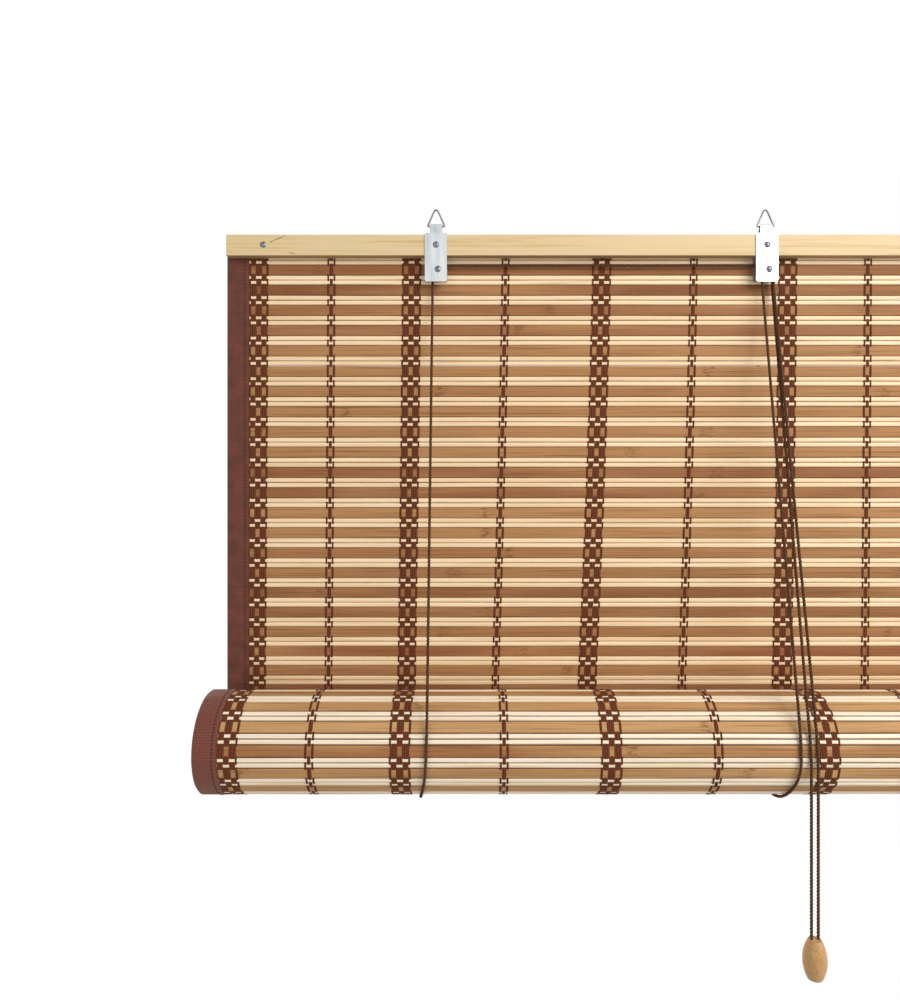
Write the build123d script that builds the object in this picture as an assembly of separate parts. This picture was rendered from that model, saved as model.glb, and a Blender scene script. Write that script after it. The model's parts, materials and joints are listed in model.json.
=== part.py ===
from build123d import *
import os
from math import acos, atan2, cos, degrees, floor, hypot, pi, radians, sin, sqrt

# Bamboo roll-up blind, partly rolled up and held by its cords.
# Millimetres, +Z up, the front faces -Y.
# The origin lies on the rear face of the head rail, at mid-width and mid-height.

# Woven mat: wide slats with thin sticks between them
MAT_WIDTH = 753.0
SLAT_HEIGHT = 10.2
SLAT_THICKNESS = 2.0
SLAT_BEVEL = 0.4
STICK_HEIGHT = 4.45
STICK_THICKNESS = 2.6
STICKS_BETWEEN = 2
PICK_GAP = 0.35
WEB_THICKNESS = 0.8
FIRST_SLAT_DROP = 1.55
STICK_FLAT_SHARE = 0.5
STICK_EDGE_SHARE = 0.45

# Warp columns: three bands and one band by turns
COLUMN_PITCH = 95.0
EDGE_COLUMN_INSET = 33.0
OUTER_COLUMN_INSET = 107.0
BAND_WIDTH = 5.0
BAND_GAP = 0.6
SINGLE_BAND_WIDTH = 6.0
BAND_THICKNESS = 0.6
BAND_TUCK = 5.0
BAND_SEAT = 0.05

# Edge binding: a tape folded round the slat ends
BINDING_WIDTH = 22.6
TAPE_THICKNESS = 0.6
BINDING_CLEARANCE = 0.05

# Roll: one closed outer turn with the inner turns spiralling inside it
ROLL_RADIUS = 46.8
ROLL_DROP = 481.6
ROLL_PHASE_DEG = 172.8
ROLL_CLEARANCE = 0.3
TURN_PITCH = 4.2
INNER_WALL = 2.2

# Bottom rail in the core of the roll
BOTTOM_RAIL_WIDTH = 22.0
BOTTOM_RAIL_THICKNESS = 6.0
BOTTOM_RAIL_SEAT = 0.2
CORE_ROOM = 3.0

# Head rails, front and back of the mat's upper edge
RAIL_END_INSET = 2.3
RAIL_HEIGHT = 21.1
FRONT_RAIL_THICKNESS = 9.0
BACK_RAIL_THICKNESS = 7.0
BACK_RAIL_HEIGHT = 15.8
RAIL_EDGE_RADIUS = 1.0
SANDWICH_CLEARANCE = 0.05

# Screws through the rails
RAIL_SCREW_INSET = 37.0
RAIL_SCREW_HEIGHT = 0.3
SCREW_RADIUS = 1.5
SCREW_HOLE_CLEARANCE = 0.05
SCREW_HEAD_RADIUS = 3.2
SCREW_HEAD_HEIGHT = 1.5
SCREW_TIP_COVER = 2.0

# Brackets: one folded sheet each, round the front rail
BRACKET_SPACING = 330.0
BRACKET_WIDTH = 22.0
BRACKET_TOP = 11.6
BRACKET_BOTTOM = -36.7
BRACKET_BACK_BOTTOM = -34.0
SHEET = 1.0
SHEET_CLEARANCE = 0.05
SHEET_BEND_RADIUS = 1.4
PLATE_CORNER_RADIUS = 2.0
LIP_DEPTH = 2.6
NECK_WIDTH = 12.2
LOOP_WIDTH = 3.6
LOOP_RISE = 1.75

# Hanging rings in the bracket necks
RING_WIRE_RADIUS = 0.9
RING_BASE_HEIGHT = 19.7
RING_RISE = 19.65
RING_HALF_WIDTH = 8.7
RING_CORNER_RADIUS = 1.0
RING_APEX_RADIUS = 2.2

# Pulleys on the lower rivets
AXLE_OFFSET = 2.0
AXLE_HEIGHT = -24.3
AXLE_RADIUS = 1.5
AXLE_CLEARANCE = 0.05
AXLE_HEAD_RADIUS = 3.3
AXLE_HEAD_HEIGHT = 1.3
AXLE_TAIL_RADIUS = 2.4
AXLE_TAIL_HEIGHT = 0.4
PULLEY_PITCH_RADIUS = 5.6
PULLEY_FLANGE_RADIUS = 7.2
PULLEY_SIDE_CLEARANCE = 0.3
GROOVE_SPACING = 3.6
GROOVE_CLEARANCE = 0.1

# Cords
CORD_RADIUS = 1.4
CORD_CLEARANCE = 0.3
CORD_LEAD = 17.0
CORD_LEAD_BEND = 60.0
CORD_SPLIT_RISE = 45.0
CORD_END_GAP = 0.1
PULL_CORD_SPREAD = 6.0
KNOT_RADIUS = 2.9
KNOT_RISE = 2.1

# Pull knob on the two pull cords
KNOB_TOP = -640.0
KNOB_HEIGHT = 34.0
KNOB_NECK_RADIUS = 5.5
KNOB_RADIUS = 10.0
KNOB_FOOT_RADIUS = 6.5

# Places that follow from the sizes above
PERIOD = SLAT_HEIGHT + STICKS_BETWEEN * STICK_HEIGHT + (STICKS_BETWEEN + 1) * PICK_GAP
HALF_MAT = STICK_THICKNESS / 2
HALF_BINDING = HALF_MAT + BINDING_CLEARANCE + TAPE_THICKNESS
HALF_SANDWICH = max(HALF_BINDING, HALF_MAT + BAND_THICKNESS) + SANDWICH_CLEARANCE
MAT_Y = -BACK_RAIL_THICKNESS - HALF_SANDWICH
RAIL_BACK_Y = MAT_Y - HALF_SANDWICH
RAIL_FRONT_Y = RAIL_BACK_Y - FRONT_RAIL_THICKNESS
RAIL_LENGTH = MAT_WIDTH - 2 * RAIL_END_INSET
RAIL_BOTTOM = -RAIL_HEIGHT / 2
BACK_RAIL_TOP = RAIL_BOTTOM + BACK_RAIL_HEIGHT

STICK_RUN = STICKS_BETWEEN * (STICK_HEIGHT + PICK_GAP)
HANG_PERIODS = floor((ROLL_DROP - FIRST_SLAT_DROP - SLAT_HEIGHT / 2 - STICK_RUN) / PERIOD)
MAT_TOP = SLAT_HEIGHT / 2 - FIRST_SLAT_DROP
MAT_BOTTOM = -FIRST_SLAT_DROP - HANG_PERIODS * PERIOD - SLAT_HEIGHT / 2 - STICK_RUN

TURN_RADIUS = ROLL_RADIUS - HALF_MAT
PERIODS_ROUND = 2 * floor(2 * pi * TURN_RADIUS / PERIOD / 2)
CORE_RADIUS = hypot(BOTTOM_RAIL_WIDTH, BOTTOM_RAIL_THICKNESS) / 2 + CORE_ROOM
INNER_TURNS = (TURN_RADIUS - CORE_RADIUS) / TURN_PITCH - 1
SPIRAL_STEPS = floor(INNER_TURNS * PERIODS_ROUND)
FACETS = 2 * PERIODS_ROUND
FACET_COS = cos(pi / FACETS)
ROLL_BAND_RADIUS = (ROLL_RADIUS + BAND_SEAT + BAND_THICKNESS) / FACET_COS
ROLL_REACH = max(ROLL_BAND_RADIUS, TURN_RADIUS + HALF_BINDING)
ROLL_Y = MAT_Y - max(HALF_BINDING, HALF_MAT + BAND_THICKNESS) - ROLL_CLEARANCE - ROLL_REACH
ROLL_Z = -ROLL_DROP

PLATE_FRONT_Y = RAIL_FRONT_Y - SHEET_CLEARANCE - SHEET / 2
PLATE_BACK_Y = RAIL_BACK_Y - SHEET / 2
PULLEY_Y = (PLATE_FRONT_Y + PLATE_BACK_Y) / 2
PULLEY_WIDTH = PLATE_BACK_Y - PLATE_FRONT_Y - SHEET - 2 * PULLEY_SIDE_CLEARANCE
RING_Y = PULLEY_Y
LOOP_TOP = RING_BASE_HEIGHT + LOOP_RISE
REAR_GROOVE_Y = PULLEY_Y + GROOVE_SPACING / 2
FRONT_GROOVE_Y = PULLEY_Y - GROOVE_SPACING / 2
BRACKET_XS = (-BRACKET_SPACING / 2, BRACKET_SPACING / 2)
AXLE_XS = (BRACKET_XS[0] + AXLE_OFFSET, BRACKET_XS[1] + AXLE_OFFSET)
LIFT_XS = (AXLE_XS[0] - PULLEY_PITCH_RADIUS, AXLE_XS[1] - PULLEY_PITCH_RADIUS)
PULL_X = AXLE_XS[1] + PULLEY_PITCH_RADIUS

CORD_BACK_Y = MAT_Y + HALF_MAT + CORD_CLEARANCE + CORD_RADIUS
CORD_ROUND = ROLL_RADIUS + CORD_CLEARANCE + CORD_RADIUS
CORD_BACK_ROUND = CORD_BACK_Y - ROLL_Y
LOOP_START_Z = ROLL_Z - CORD_ROUND + CORD_BACK_ROUND
RAIL_SCREW_XS = (RAIL_SCREW_INSET - RAIL_LENGTH / 2, RAIL_LENGTH / 2 - RAIL_SCREW_INSET)


def save(node, *solids):
    shape = solids[0] if len(solids) == 1 else Compound(children=list(solids))
    export_step(shape, os.path.join("parts", node + ".step"))


def block(x0, x1, y0, y1, z0, z1):
    size = Box(x1 - x0, y1 - y0, z1 - z0)
    return Pos((x0 + x1) / 2, (y0 + y1) / 2, (z0 + z1) / 2) * size


def rod(x, z, radius, y0, y1):
    return Pos(x, (y0 + y1) / 2, z) * Rot(X=90) * Cylinder(radius, y1 - y0)


def side_face(points):
    return make_face(Polyline(*points, close=True))


def along_x(face, x0, x1):
    return Pos(X=x0) * extrude(Plane.YZ * face, amount=x1 - x0)


def slat_side():
    half = SLAT_HEIGHT / 2
    top = SLAT_THICKNESS / 2
    web = WEB_THICKNESS / 2
    rise = [(-half, web), (-half, top - SLAT_BEVEL), (SLAT_BEVEL - half, top)]
    return rise + [(-u, t) for u, t in reversed(rise)]


def stick_side():
    half = STICK_HEIGHT / 2
    top = STICK_THICKNESS / 2
    web = WEB_THICKNESS / 2
    rise = [(-half, web), (-half, top * STICK_EDGE_SHARE), (-half * STICK_FLAT_SHARE, top)]
    return rise + [(-u, t) for u, t in reversed(rise)]


def period_picks():
    picks = [(0.0, slat_side())]
    place = SLAT_HEIGHT / 2 + PICK_GAP + STICK_HEIGHT / 2
    for _ in range(STICKS_BETWEEN):
        picks.append((place, stick_side()))
        place += STICK_HEIGHT + PICK_GAP
    return picks


def hanging_face():
    front = []
    back = []
    for k in range(HANG_PERIODS + 1):
        for offset, side in period_picks():
            for u, t in side:
                z = -FIRST_SLAT_DROP - k * PERIOD - offset - u
                front.append((MAT_Y - t, z))
                back.append((MAT_Y + t, z))
    return side_face(front + back[::-1])


def roll_point(radius, angle):
    return (ROLL_Y + radius * cos(angle), ROLL_Z + radius * sin(angle))


def ring_face():
    outer = []
    inner = []
    per_mm = 2 * pi / (PERIODS_ROUND * PERIOD)
    for k in range(PERIODS_ROUND):
        for offset, side in period_picks():
            angle = radians(ROLL_PHASE_DEG) + (k * PERIOD + offset) * per_mm
            for u, t in side:
                for radius, line in ((TURN_RADIUS + t, outer), (TURN_RADIUS - t, inner)):
                    y, z = roll_point(radius, angle)
                    line.append((y - u * sin(angle), z + u * cos(angle)))
    return side_face(outer) - side_face(inner)


def spiral_radius(turn):
    return TURN_RADIUS - TURN_PITCH * (1 + turn)


def spiral_face(wall):
    start = radians(ROLL_PHASE_DEG)
    line = [(TURN_RADIUS, start)]
    for i in range(SPIRAL_STEPS + 1):
        line.append((spiral_radius(i / PERIODS_ROUND), start + (i + 1) * 2 * pi / PERIODS_ROUND))
    outer = [roll_point(radius + wall / 2, angle) for radius, angle in line]
    inner = [roll_point(radius - wall / 2, angle) for radius, angle in line]
    return side_face(outer + inner[::-1])


def polygon_ring(inner, outer, x0, x1):
    place = Pos(ROLL_Y, ROLL_Z)
    hoop = RegularPolygon(outer, FACETS, major_radius=False)
    hole = RegularPolygon(inner, FACETS, major_radius=False)
    return along_x(place * (hoop - hole), x0, x1)


def columns():
    inner = floor((MAT_WIDTH / 2 - OUTER_COLUMN_INSET) / COLUMN_PITCH - 0.5)
    found = []
    for i in range(-inner, inner + 1):
        found.append((i * COLUMN_PITCH, i % 2 == 0))
    for side in (-1, 1):
        found.append((side * (MAT_WIDTH / 2 - EDGE_COLUMN_INSET), True))
        found.append((side * (MAT_WIDTH / 2 - OUTER_COLUMN_INSET), False))
    return sorted(found)


def band_spans():
    spans = []
    for x, wide in columns():
        if wide:
            for step in (-1, 0, 1):
                middle = x + step * (BAND_WIDTH + BAND_GAP)
                spans.append((middle - BAND_WIDTH / 2, middle + BAND_WIDTH / 2))
        else:
            spans.append((x - SINGLE_BAND_WIDTH / 2, x + SINGLE_BAND_WIDTH / 2))
    return spans


def column_spans():
    wide_half = BAND_WIDTH * 1.5 + BAND_GAP
    halves = {True: wide_half, False: SINGLE_BAND_WIDTH / 2}
    return [(x - halves[wide], x + halves[wide]) for x, wide in columns()]


def screw_places():
    places = [(x, RAIL_SCREW_HEIGHT) for x in RAIL_SCREW_XS]
    return places + [(x, 0.0) for x in BRACKET_XS]


def screw_holes(y0, y1):
    radius = SCREW_RADIUS + SCREW_HOLE_CLEARANCE
    return [rod(x, z, radius, y0, y1) for x, z in screw_places()]


def dome(x, z, y, radius, height):
    bulge = (radius * radius + height * height) / (2 * height)
    ball = Pos(x, y - height + bulge, z) * Sphere(bulge)
    return ball & rod(x, z, radius, y - height, y)


def screw(x, z, seat_y):
    tip_y = -SCREW_TIP_COVER
    return dome(x, z, seat_y, SCREW_HEAD_RADIUS, SCREW_HEAD_HEIGHT) + rod(x, z, SCREW_RADIUS, seat_y, tip_y)


def front_rail():
    half = RAIL_LENGTH / 2
    rail = block(-half, half, RAIL_FRONT_Y, RAIL_BACK_Y, RAIL_BOTTOM, -RAIL_BOTTOM)
    long_edges = rail.faces().sort_by(Axis.Y)[0].edges().filter_by(Axis.X)
    rail = fillet(long_edges, RAIL_EDGE_RADIUS)
    pocket_y = RAIL_BACK_Y - SHEET - SHEET_CLEARANCE
    for x in BRACKET_XS:
        pocket_half = BRACKET_WIDTH / 2 + SHEET_CLEARANCE
        rail -= block(x - pocket_half, x + pocket_half, pocket_y, RAIL_BACK_Y, RAIL_BOTTOM, -RAIL_BOTTOM)
    for hole in screw_holes(RAIL_FRONT_Y, RAIL_BACK_Y):
        rail -= hole
    return rail


def back_rail():
    half = RAIL_LENGTH / 2
    rail = block(-half, half, -BACK_RAIL_THICKNESS, 0, RAIL_BOTTOM, BACK_RAIL_TOP)
    groove_half = CORD_RADIUS + CORD_CLEARANCE
    for x in LIFT_XS:
        floor_y = CORD_BACK_Y + groove_half
        rail -= block(x - groove_half, x + groove_half, -BACK_RAIL_THICKNESS, floor_y, RAIL_BOTTOM, BACK_RAIL_TOP)
    for hole in screw_holes(-BACK_RAIL_THICKNESS, -SCREW_TIP_COVER):
        rail -= hole
    return rail


def hanging_mat():
    half = MAT_WIDTH / 2 - TAPE_THICKNESS - BINDING_CLEARANCE
    mat = along_x(hanging_face(), -half, half)
    for hole in screw_holes(MAT_Y - HALF_SANDWICH, MAT_Y + HALF_SANDWICH):
        mat -= hole
    return mat


def hanging_binding(side):
    edge = side * MAT_WIDTH / 2
    inner = edge - side * BINDING_WIDTH
    x0, x1 = sorted((edge, inner))
    tape = block(x0, x1, MAT_Y - HALF_BINDING, MAT_Y + HALF_BINDING, MAT_BOTTOM, MAT_TOP)
    x2, x3 = sorted((edge - side * TAPE_THICKNESS, inner))
    slot = HALF_BINDING - TAPE_THICKNESS
    return tape - block(x2, x3, MAT_Y - slot, MAT_Y + slot, MAT_BOTTOM, MAT_TOP)


def warp_bands(front):
    top = RAIL_BOTTOM + BAND_TUCK
    y0 = MAT_Y - HALF_MAT - BAND_THICKNESS if front else MAT_Y + HALF_MAT
    bands = [block(x0, x1, y0, y0 + BAND_THICKNESS, MAT_BOTTOM, top) for x0, x1 in band_spans()]
    return [tail_pockets(band, y0) for band in bands] if front else bands


def tail_pockets(band, y0):
    # The yarn gives way under a rivet's tail, where a bracket stands over a column.
    tail_y = PLATE_BACK_Y + SHEET / 2 + AXLE_TAIL_HEIGHT
    radius = AXLE_TAIL_RADIUS + SHEET_CLEARANCE
    for x in BRACKET_XS:
        band -= rod(x + AXLE_OFFSET, AXLE_HEIGHT, radius, y0, tail_y + SHEET_CLEARANCE)
    return band


def roll_mat():
    half = MAT_WIDTH / 2 - BINDING_WIDTH
    return along_x(ring_face() + spiral_face(INNER_WALL), -half, half)


def roll_binding(side):
    x0, x1 = sorted((side * MAT_WIDTH / 2, side * (MAT_WIDTH / 2 - BINDING_WIDTH)))
    centre = Pos(ROLL_Y, ROLL_Z)
    hoop = centre * (Circle(TURN_RADIUS + HALF_BINDING) - Circle(TURN_RADIUS - HALF_BINDING))
    return along_x(hoop + spiral_face(2 * HALF_BINDING), x0, x1)


def roll_bands():
    inner = ROLL_RADIUS + BAND_SEAT
    return [polygon_ring(inner, inner + BAND_THICKNESS, x0, x1) for x0, x1 in column_spans()]


def bottom_rail():
    inmost = spiral_radius(SPIRAL_STEPS / PERIODS_ROUND) * cos(pi / PERIODS_ROUND)
    reach = inmost - HALF_BINDING - BOTTOM_RAIL_SEAT
    width = BOTTOM_RAIL_WIDTH / 2
    outer = sqrt(reach * reach - width * width)
    half = RAIL_LENGTH / 2
    rail = block(-half, half, outer - BOTTOM_RAIL_THICKNESS, outer, -width, width)
    end = ROLL_PHASE_DEG + (SPIRAL_STEPS + 1) * 360 / PERIODS_ROUND
    return Pos(0, ROLL_Y, ROLL_Z) * Rot(X=end - degrees(atan2(width, outer))) * rail


def bracket(x):
    path = FilletPolyline(
        (PLATE_FRONT_Y, BRACKET_BOTTOM),
        (PLATE_FRONT_Y, BRACKET_TOP),
        (RING_Y - LOOP_WIDTH / 2, LOOP_TOP),
        (RING_Y + LOOP_WIDTH / 2, LOOP_TOP),
        (PLATE_BACK_Y, BRACKET_TOP),
        (PLATE_BACK_Y, BRACKET_BACK_BOTTOM),
        radius=SHEET_BEND_RADIUS,
    )
    sheet_face = trace(path, line_width=SHEET)
    half = BRACKET_WIDTH / 2
    sheet = along_x(sheet_face, -half, half)
    neck_half = NECK_WIDTH / 2
    sky = LOOP_TOP + SHEET
    y0 = PLATE_FRONT_Y - SHEET
    y1 = PLATE_BACK_Y + SHEET
    for x0, x1 in ((-half, -neck_half), (neck_half, half)):
        sheet -= block(x0, x1, y0, y1, BRACKET_TOP, sky)
    corners = sheet.edges().filter_by(Axis.Y).group_by(Axis.Z)[0]
    sheet = fillet(corners, PLATE_CORNER_RADIUS)
    lip_y = PLATE_FRONT_Y + SHEET / 2 + LIP_DEPTH
    lip_top = RAIL_BOTTOM - SHEET_CLEARANCE
    lip_bottom = BRACKET_BOTTOM + PLATE_CORNER_RADIUS
    for x0, x1 in ((-half, SHEET - half), (half - SHEET, half)):
        sheet += block(x0, x1, PLATE_FRONT_Y, lip_y, lip_bottom, lip_top)
    sheet = Pos(X=x) * sheet
    hole = SCREW_RADIUS + SCREW_HOLE_CLEARANCE
    sheet -= rod(x, 0, hole, y0, y1)
    axle_hole = AXLE_RADIUS + AXLE_CLEARANCE
    return sheet - rod(x + AXLE_OFFSET, AXLE_HEIGHT, axle_hole, y0, y1)


def ring(x):
    apex = RING_BASE_HEIGHT + RING_RISE
    path = FilletPolyline(
        (x - RING_HALF_WIDTH, RING_Y, RING_BASE_HEIGHT),
        (x + RING_HALF_WIDTH, RING_Y, RING_BASE_HEIGHT),
        (x, RING_Y, apex),
        radius=(RING_CORNER_RADIUS, RING_CORNER_RADIUS, RING_APEX_RADIUS),
        close=True,
    )
    return tube(path, RING_WIRE_RADIUS)


def tube(path, radius):
    wire = path if isinstance(path, Wire) else Wire(path.edges())
    section = Plane(origin=wire @ 0, z_dir=wire % 0) * Circle(radius)
    return sweep(section, path=wire)


def axle(x):
    seat_y = PLATE_FRONT_Y - SHEET / 2
    back_y = PLATE_BACK_Y + SHEET / 2
    pin = rod(x, AXLE_HEIGHT, AXLE_RADIUS, seat_y, back_y)
    head = dome(x, AXLE_HEIGHT, seat_y, AXLE_HEAD_RADIUS, AXLE_HEAD_HEIGHT)
    tail = rod(x, AXLE_HEIGHT, AXLE_TAIL_RADIUS, back_y, back_y + AXLE_TAIL_HEIGHT)
    return pin + head + tail


def pulley(x):
    half = PULLEY_WIDTH / 2
    wheel = rod(x, AXLE_HEIGHT, PULLEY_FLANGE_RADIUS, PULLEY_Y - half, PULLEY_Y + half)
    wheel -= rod(x, AXLE_HEIGHT, AXLE_RADIUS + AXLE_CLEARANCE, PULLEY_Y - half, PULLEY_Y + half)
    groove = CORD_RADIUS + GROOVE_CLEARANCE
    for y in (REAR_GROOVE_Y, FRONT_GROOVE_Y):
        wheel -= Pos(x, y, AXLE_HEIGHT) * Rot(X=90) * Torus(PULLEY_PITCH_RADIUS, groove)
        neck_half = groove
        outer = rod(x, AXLE_HEIGHT, PULLEY_FLANGE_RADIUS, y - neck_half, y + neck_half)
        wheel -= outer - rod(x, AXLE_HEIGHT, PULLEY_PITCH_RADIUS, y - neck_half, y + neck_half)
    return wheel


def knot(x):
    ball = Pos(x, CORD_BACK_Y, BACK_RAIL_TOP + KNOT_RISE) * Sphere(KNOT_RADIUS)
    reach = 2 * KNOT_RADIUS
    top = BACK_RAIL_TOP + KNOT_RISE + reach
    return ball & block(x - reach, x + reach, CORD_BACK_Y - reach, CORD_BACK_Y + reach, BACK_RAIL_TOP, top)


def front_tangent(y, z):
    dy = ROLL_Y - y
    dz = ROLL_Z - z
    span = hypot(dy, dz)
    angle = atan2(-dz, -dy) + acos(CORD_ROUND / span)
    return angle


def toward(a, b, distance):
    return a + (b - a).normalized() * distance


def cord_split(x, y):
    low = Vector(x, y, AXLE_HEIGHT - CORD_LEAD)
    angle = front_tangent(low.Y, low.Z)
    ty, tz = roll_point(CORD_ROUND, angle)
    touch = Vector(x, ty, tz)
    return low, touch, toward(touch, low, CORD_SPLIT_RISE)


def back_cord(x):
    length = BACK_RAIL_TOP - LOOP_START_Z
    return Pos(x, CORD_BACK_Y, LOOP_START_Z + length / 2) * Cylinder(CORD_RADIUS, length)


def loop_cord(x, y):
    low, touch, split = cord_split(x, y)
    start = Vector(x, CORD_BACK_Y, LOOP_START_Z)
    bottom = Vector(x, ROLL_Y, ROLL_Z - CORD_ROUND)
    half = sqrt(0.5) * CORD_BACK_ROUND
    rear = Vector(x, ROLL_Y + half, LOOP_START_Z - half)
    angle = front_tangent(low.Y, low.Z)
    my, mz = roll_point(CORD_ROUND, (angle + 1.5 * pi) / 2)
    under = Vector(x, my, mz)
    edges = [
        ThreePointArc(start, rear, bottom).edge(),
        ThreePointArc(bottom, under, touch).edge(),
        Line(touch, split).edge(),
    ]
    return tube(Wire(edges), CORD_RADIUS)


def pull_split(x, y, shift):
    low = Vector(x, y, AXLE_HEIGHT - CORD_LEAD)
    angle = front_tangent(y, AXLE_HEIGHT - CORD_LEAD)
    ty, tz = roll_point(CORD_ROUND, angle)
    touch = Vector(x + shift, ty, tz)
    straight = Vector(x + shift, y, AXLE_HEIGHT - CORD_LEAD)
    return low, touch, toward(touch, straight, CORD_SPLIT_RISE)


def lead(split, low, top):
    end = toward(split, low, CORD_END_GAP)
    return FilletPolyline(end, low, top, radius=CORD_LEAD_BEND).edges()


def over_pulley(x0, x1, y):
    r = PULLEY_PITCH_RADIUS
    z = AXLE_HEIGHT
    s = sqrt(0.5) * r
    rise = ThreePointArc((x0 - r, y, z), (x0 - s, y, z + s), (x0, y, z + r)).edge()
    fall = ThreePointArc((x1, y, z + r), (x1 + s, y, z + s), (x1 + r, y, z)).edge()
    if x1 > x0:
        return [rise, Line((x0, y, z + r), (x1, y, z + r)).edge(), fall]
    return [rise, fall]


def top_cord(index, y, shift):
    low, touch, split = cord_split(LIFT_XS[index], y)
    pull_low, pull_touch, pull_end = pull_split(PULL_X, y, shift)
    edges = list(lead(split, low, Vector(LIFT_XS[index], y, AXLE_HEIGHT)))
    edges += over_pulley(AXLE_XS[index], AXLE_XS[1], y)
    edges += list(lead(pull_end, pull_low, Vector(PULL_X, y, AXLE_HEIGHT)))
    return tube(Wire(edges), CORD_RADIUS)


def pull_cord(y, shift):
    low, touch, split = pull_split(PULL_X, y, shift)
    x = PULL_X + shift
    angle = front_tangent(y, AXLE_HEIGHT - CORD_LEAD)
    my, mz = roll_point(CORD_ROUND, (angle + pi) / 2)
    front = Vector(x, ROLL_Y - CORD_ROUND, ROLL_Z)
    end = Vector(x, ROLL_Y - CORD_ROUND, KNOB_TOP)
    edges = [
        Line(split, touch).edge(),
        ThreePointArc(touch, Vector(x, my, mz), front).edge(),
        Line(front, end).edge(),
    ]
    return tube(Wire(edges), CORD_RADIUS)


def pull_knob():
    foot = KNOB_TOP - KNOB_HEIGHT
    belly = foot + KNOB_HEIGHT / 3
    profile = [
        Line((0, foot), (KNOB_FOOT_RADIUS, foot)),
        ThreePointArc((KNOB_FOOT_RADIUS, foot), (KNOB_RADIUS, belly), (KNOB_NECK_RADIUS, KNOB_TOP)),
        Line((KNOB_NECK_RADIUS, KNOB_TOP), (0, KNOB_TOP)),
        Line((0, KNOB_TOP), (0, foot)),
    ]
    face = Plane.XZ * make_face([line.edge() for line in profile])
    return Pos(PULL_X, ROLL_Y - CORD_ROUND, 0) * revolve(face, Axis.Z)


os.makedirs("parts", exist_ok=True)
PLATE_SEAT_Y = PLATE_FRONT_Y - SHEET / 2
SPREAD = PULL_CORD_SPREAD / 2

save("front_rail", front_rail())
save("back_rail", back_rail())
save("rail_screws", *[screw(x, RAIL_SCREW_HEIGHT, RAIL_FRONT_Y) for x in RAIL_SCREW_XS])
save("bracket_screws", *[screw(x, 0, PLATE_SEAT_Y) for x in BRACKET_XS])
save("hanging_mat", hanging_mat())
save("left_binding", hanging_binding(-1))
save("right_binding", hanging_binding(1))
save("front_warp_bands", *warp_bands(True))
save("back_warp_bands", *warp_bands(False))
save("roll_mat", roll_mat())
save("roll_left_binding", roll_binding(-1))
save("roll_right_binding", roll_binding(1))
save("roll_warp_bands", *roll_bands())
save("bottom_rail", bottom_rail())
save("left_bracket", bracket(BRACKET_XS[0]))
save("right_bracket", bracket(BRACKET_XS[1]))
save("left_ring", ring(BRACKET_XS[0]))
save("right_ring", ring(BRACKET_XS[1]))
save("left_axle", axle(AXLE_XS[0]))
save("right_axle", axle(AXLE_XS[1]))
save("left_pulley", pulley(AXLE_XS[0]))
save("right_pulley", pulley(AXLE_XS[1]))
save("left_cord_back", back_cord(LIFT_XS[0]))
save("right_cord_back", back_cord(LIFT_XS[1]))
save("left_cord_loop", loop_cord(LIFT_XS[0], REAR_GROOVE_Y))
save("right_cord_loop", loop_cord(LIFT_XS[1], FRONT_GROOVE_Y))
save("left_cord_top", top_cord(0, REAR_GROOVE_Y, -SPREAD))
save("right_cord_top", top_cord(1, FRONT_GROOVE_Y, SPREAD))
save("left_cord_pull", pull_cord(REAR_GROOVE_Y, -SPREAD))
save("right_cord_pull", pull_cord(FRONT_GROOVE_Y, SPREAD))
save("left_cord_knot", knot(LIFT_XS[0]))
save("right_cord_knot", knot(LIFT_XS[1]))
save("pull_knob", pull_knob())
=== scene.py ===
import json
import math

import bpy
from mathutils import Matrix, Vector


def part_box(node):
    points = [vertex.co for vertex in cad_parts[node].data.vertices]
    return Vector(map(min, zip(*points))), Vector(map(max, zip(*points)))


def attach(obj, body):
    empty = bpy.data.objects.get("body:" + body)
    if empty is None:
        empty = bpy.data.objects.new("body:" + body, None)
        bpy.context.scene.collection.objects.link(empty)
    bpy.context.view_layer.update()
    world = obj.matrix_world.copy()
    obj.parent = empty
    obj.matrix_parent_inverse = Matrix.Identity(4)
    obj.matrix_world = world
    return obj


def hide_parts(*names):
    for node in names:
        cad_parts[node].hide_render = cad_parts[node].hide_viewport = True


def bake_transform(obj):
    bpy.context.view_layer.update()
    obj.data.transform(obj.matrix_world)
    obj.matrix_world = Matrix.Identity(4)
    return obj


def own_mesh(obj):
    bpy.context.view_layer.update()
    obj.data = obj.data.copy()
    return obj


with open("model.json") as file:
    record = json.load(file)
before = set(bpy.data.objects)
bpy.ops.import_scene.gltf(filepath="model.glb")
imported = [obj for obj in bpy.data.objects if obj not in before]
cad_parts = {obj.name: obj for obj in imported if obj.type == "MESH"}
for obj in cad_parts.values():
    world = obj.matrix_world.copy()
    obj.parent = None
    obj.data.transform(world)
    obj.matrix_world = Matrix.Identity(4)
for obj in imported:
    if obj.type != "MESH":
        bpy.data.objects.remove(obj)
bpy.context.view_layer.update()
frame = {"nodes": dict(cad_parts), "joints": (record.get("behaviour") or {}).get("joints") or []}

bl_info = {
    "name": "Bamboo roll-up blind",
    "version": (1, 0, 0),
    "blender": (4, 5, 0),
    "location": "View3D > Sidebar > Blind",
    "description": "Dresses the solids of a bamboo blind with slats, yarn, tape, cords and finishes",
    "category": "Object",
}

MM = 0.001


def middle(node):
    """Centre of a solid's box, in metres."""
    low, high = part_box(node)
    return (Vector(low) + Vector(high)) / 2


def lowest(node):
    return Vector(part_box(node)[0])


def highest(node):
    return Vector(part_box(node)[1])


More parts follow.
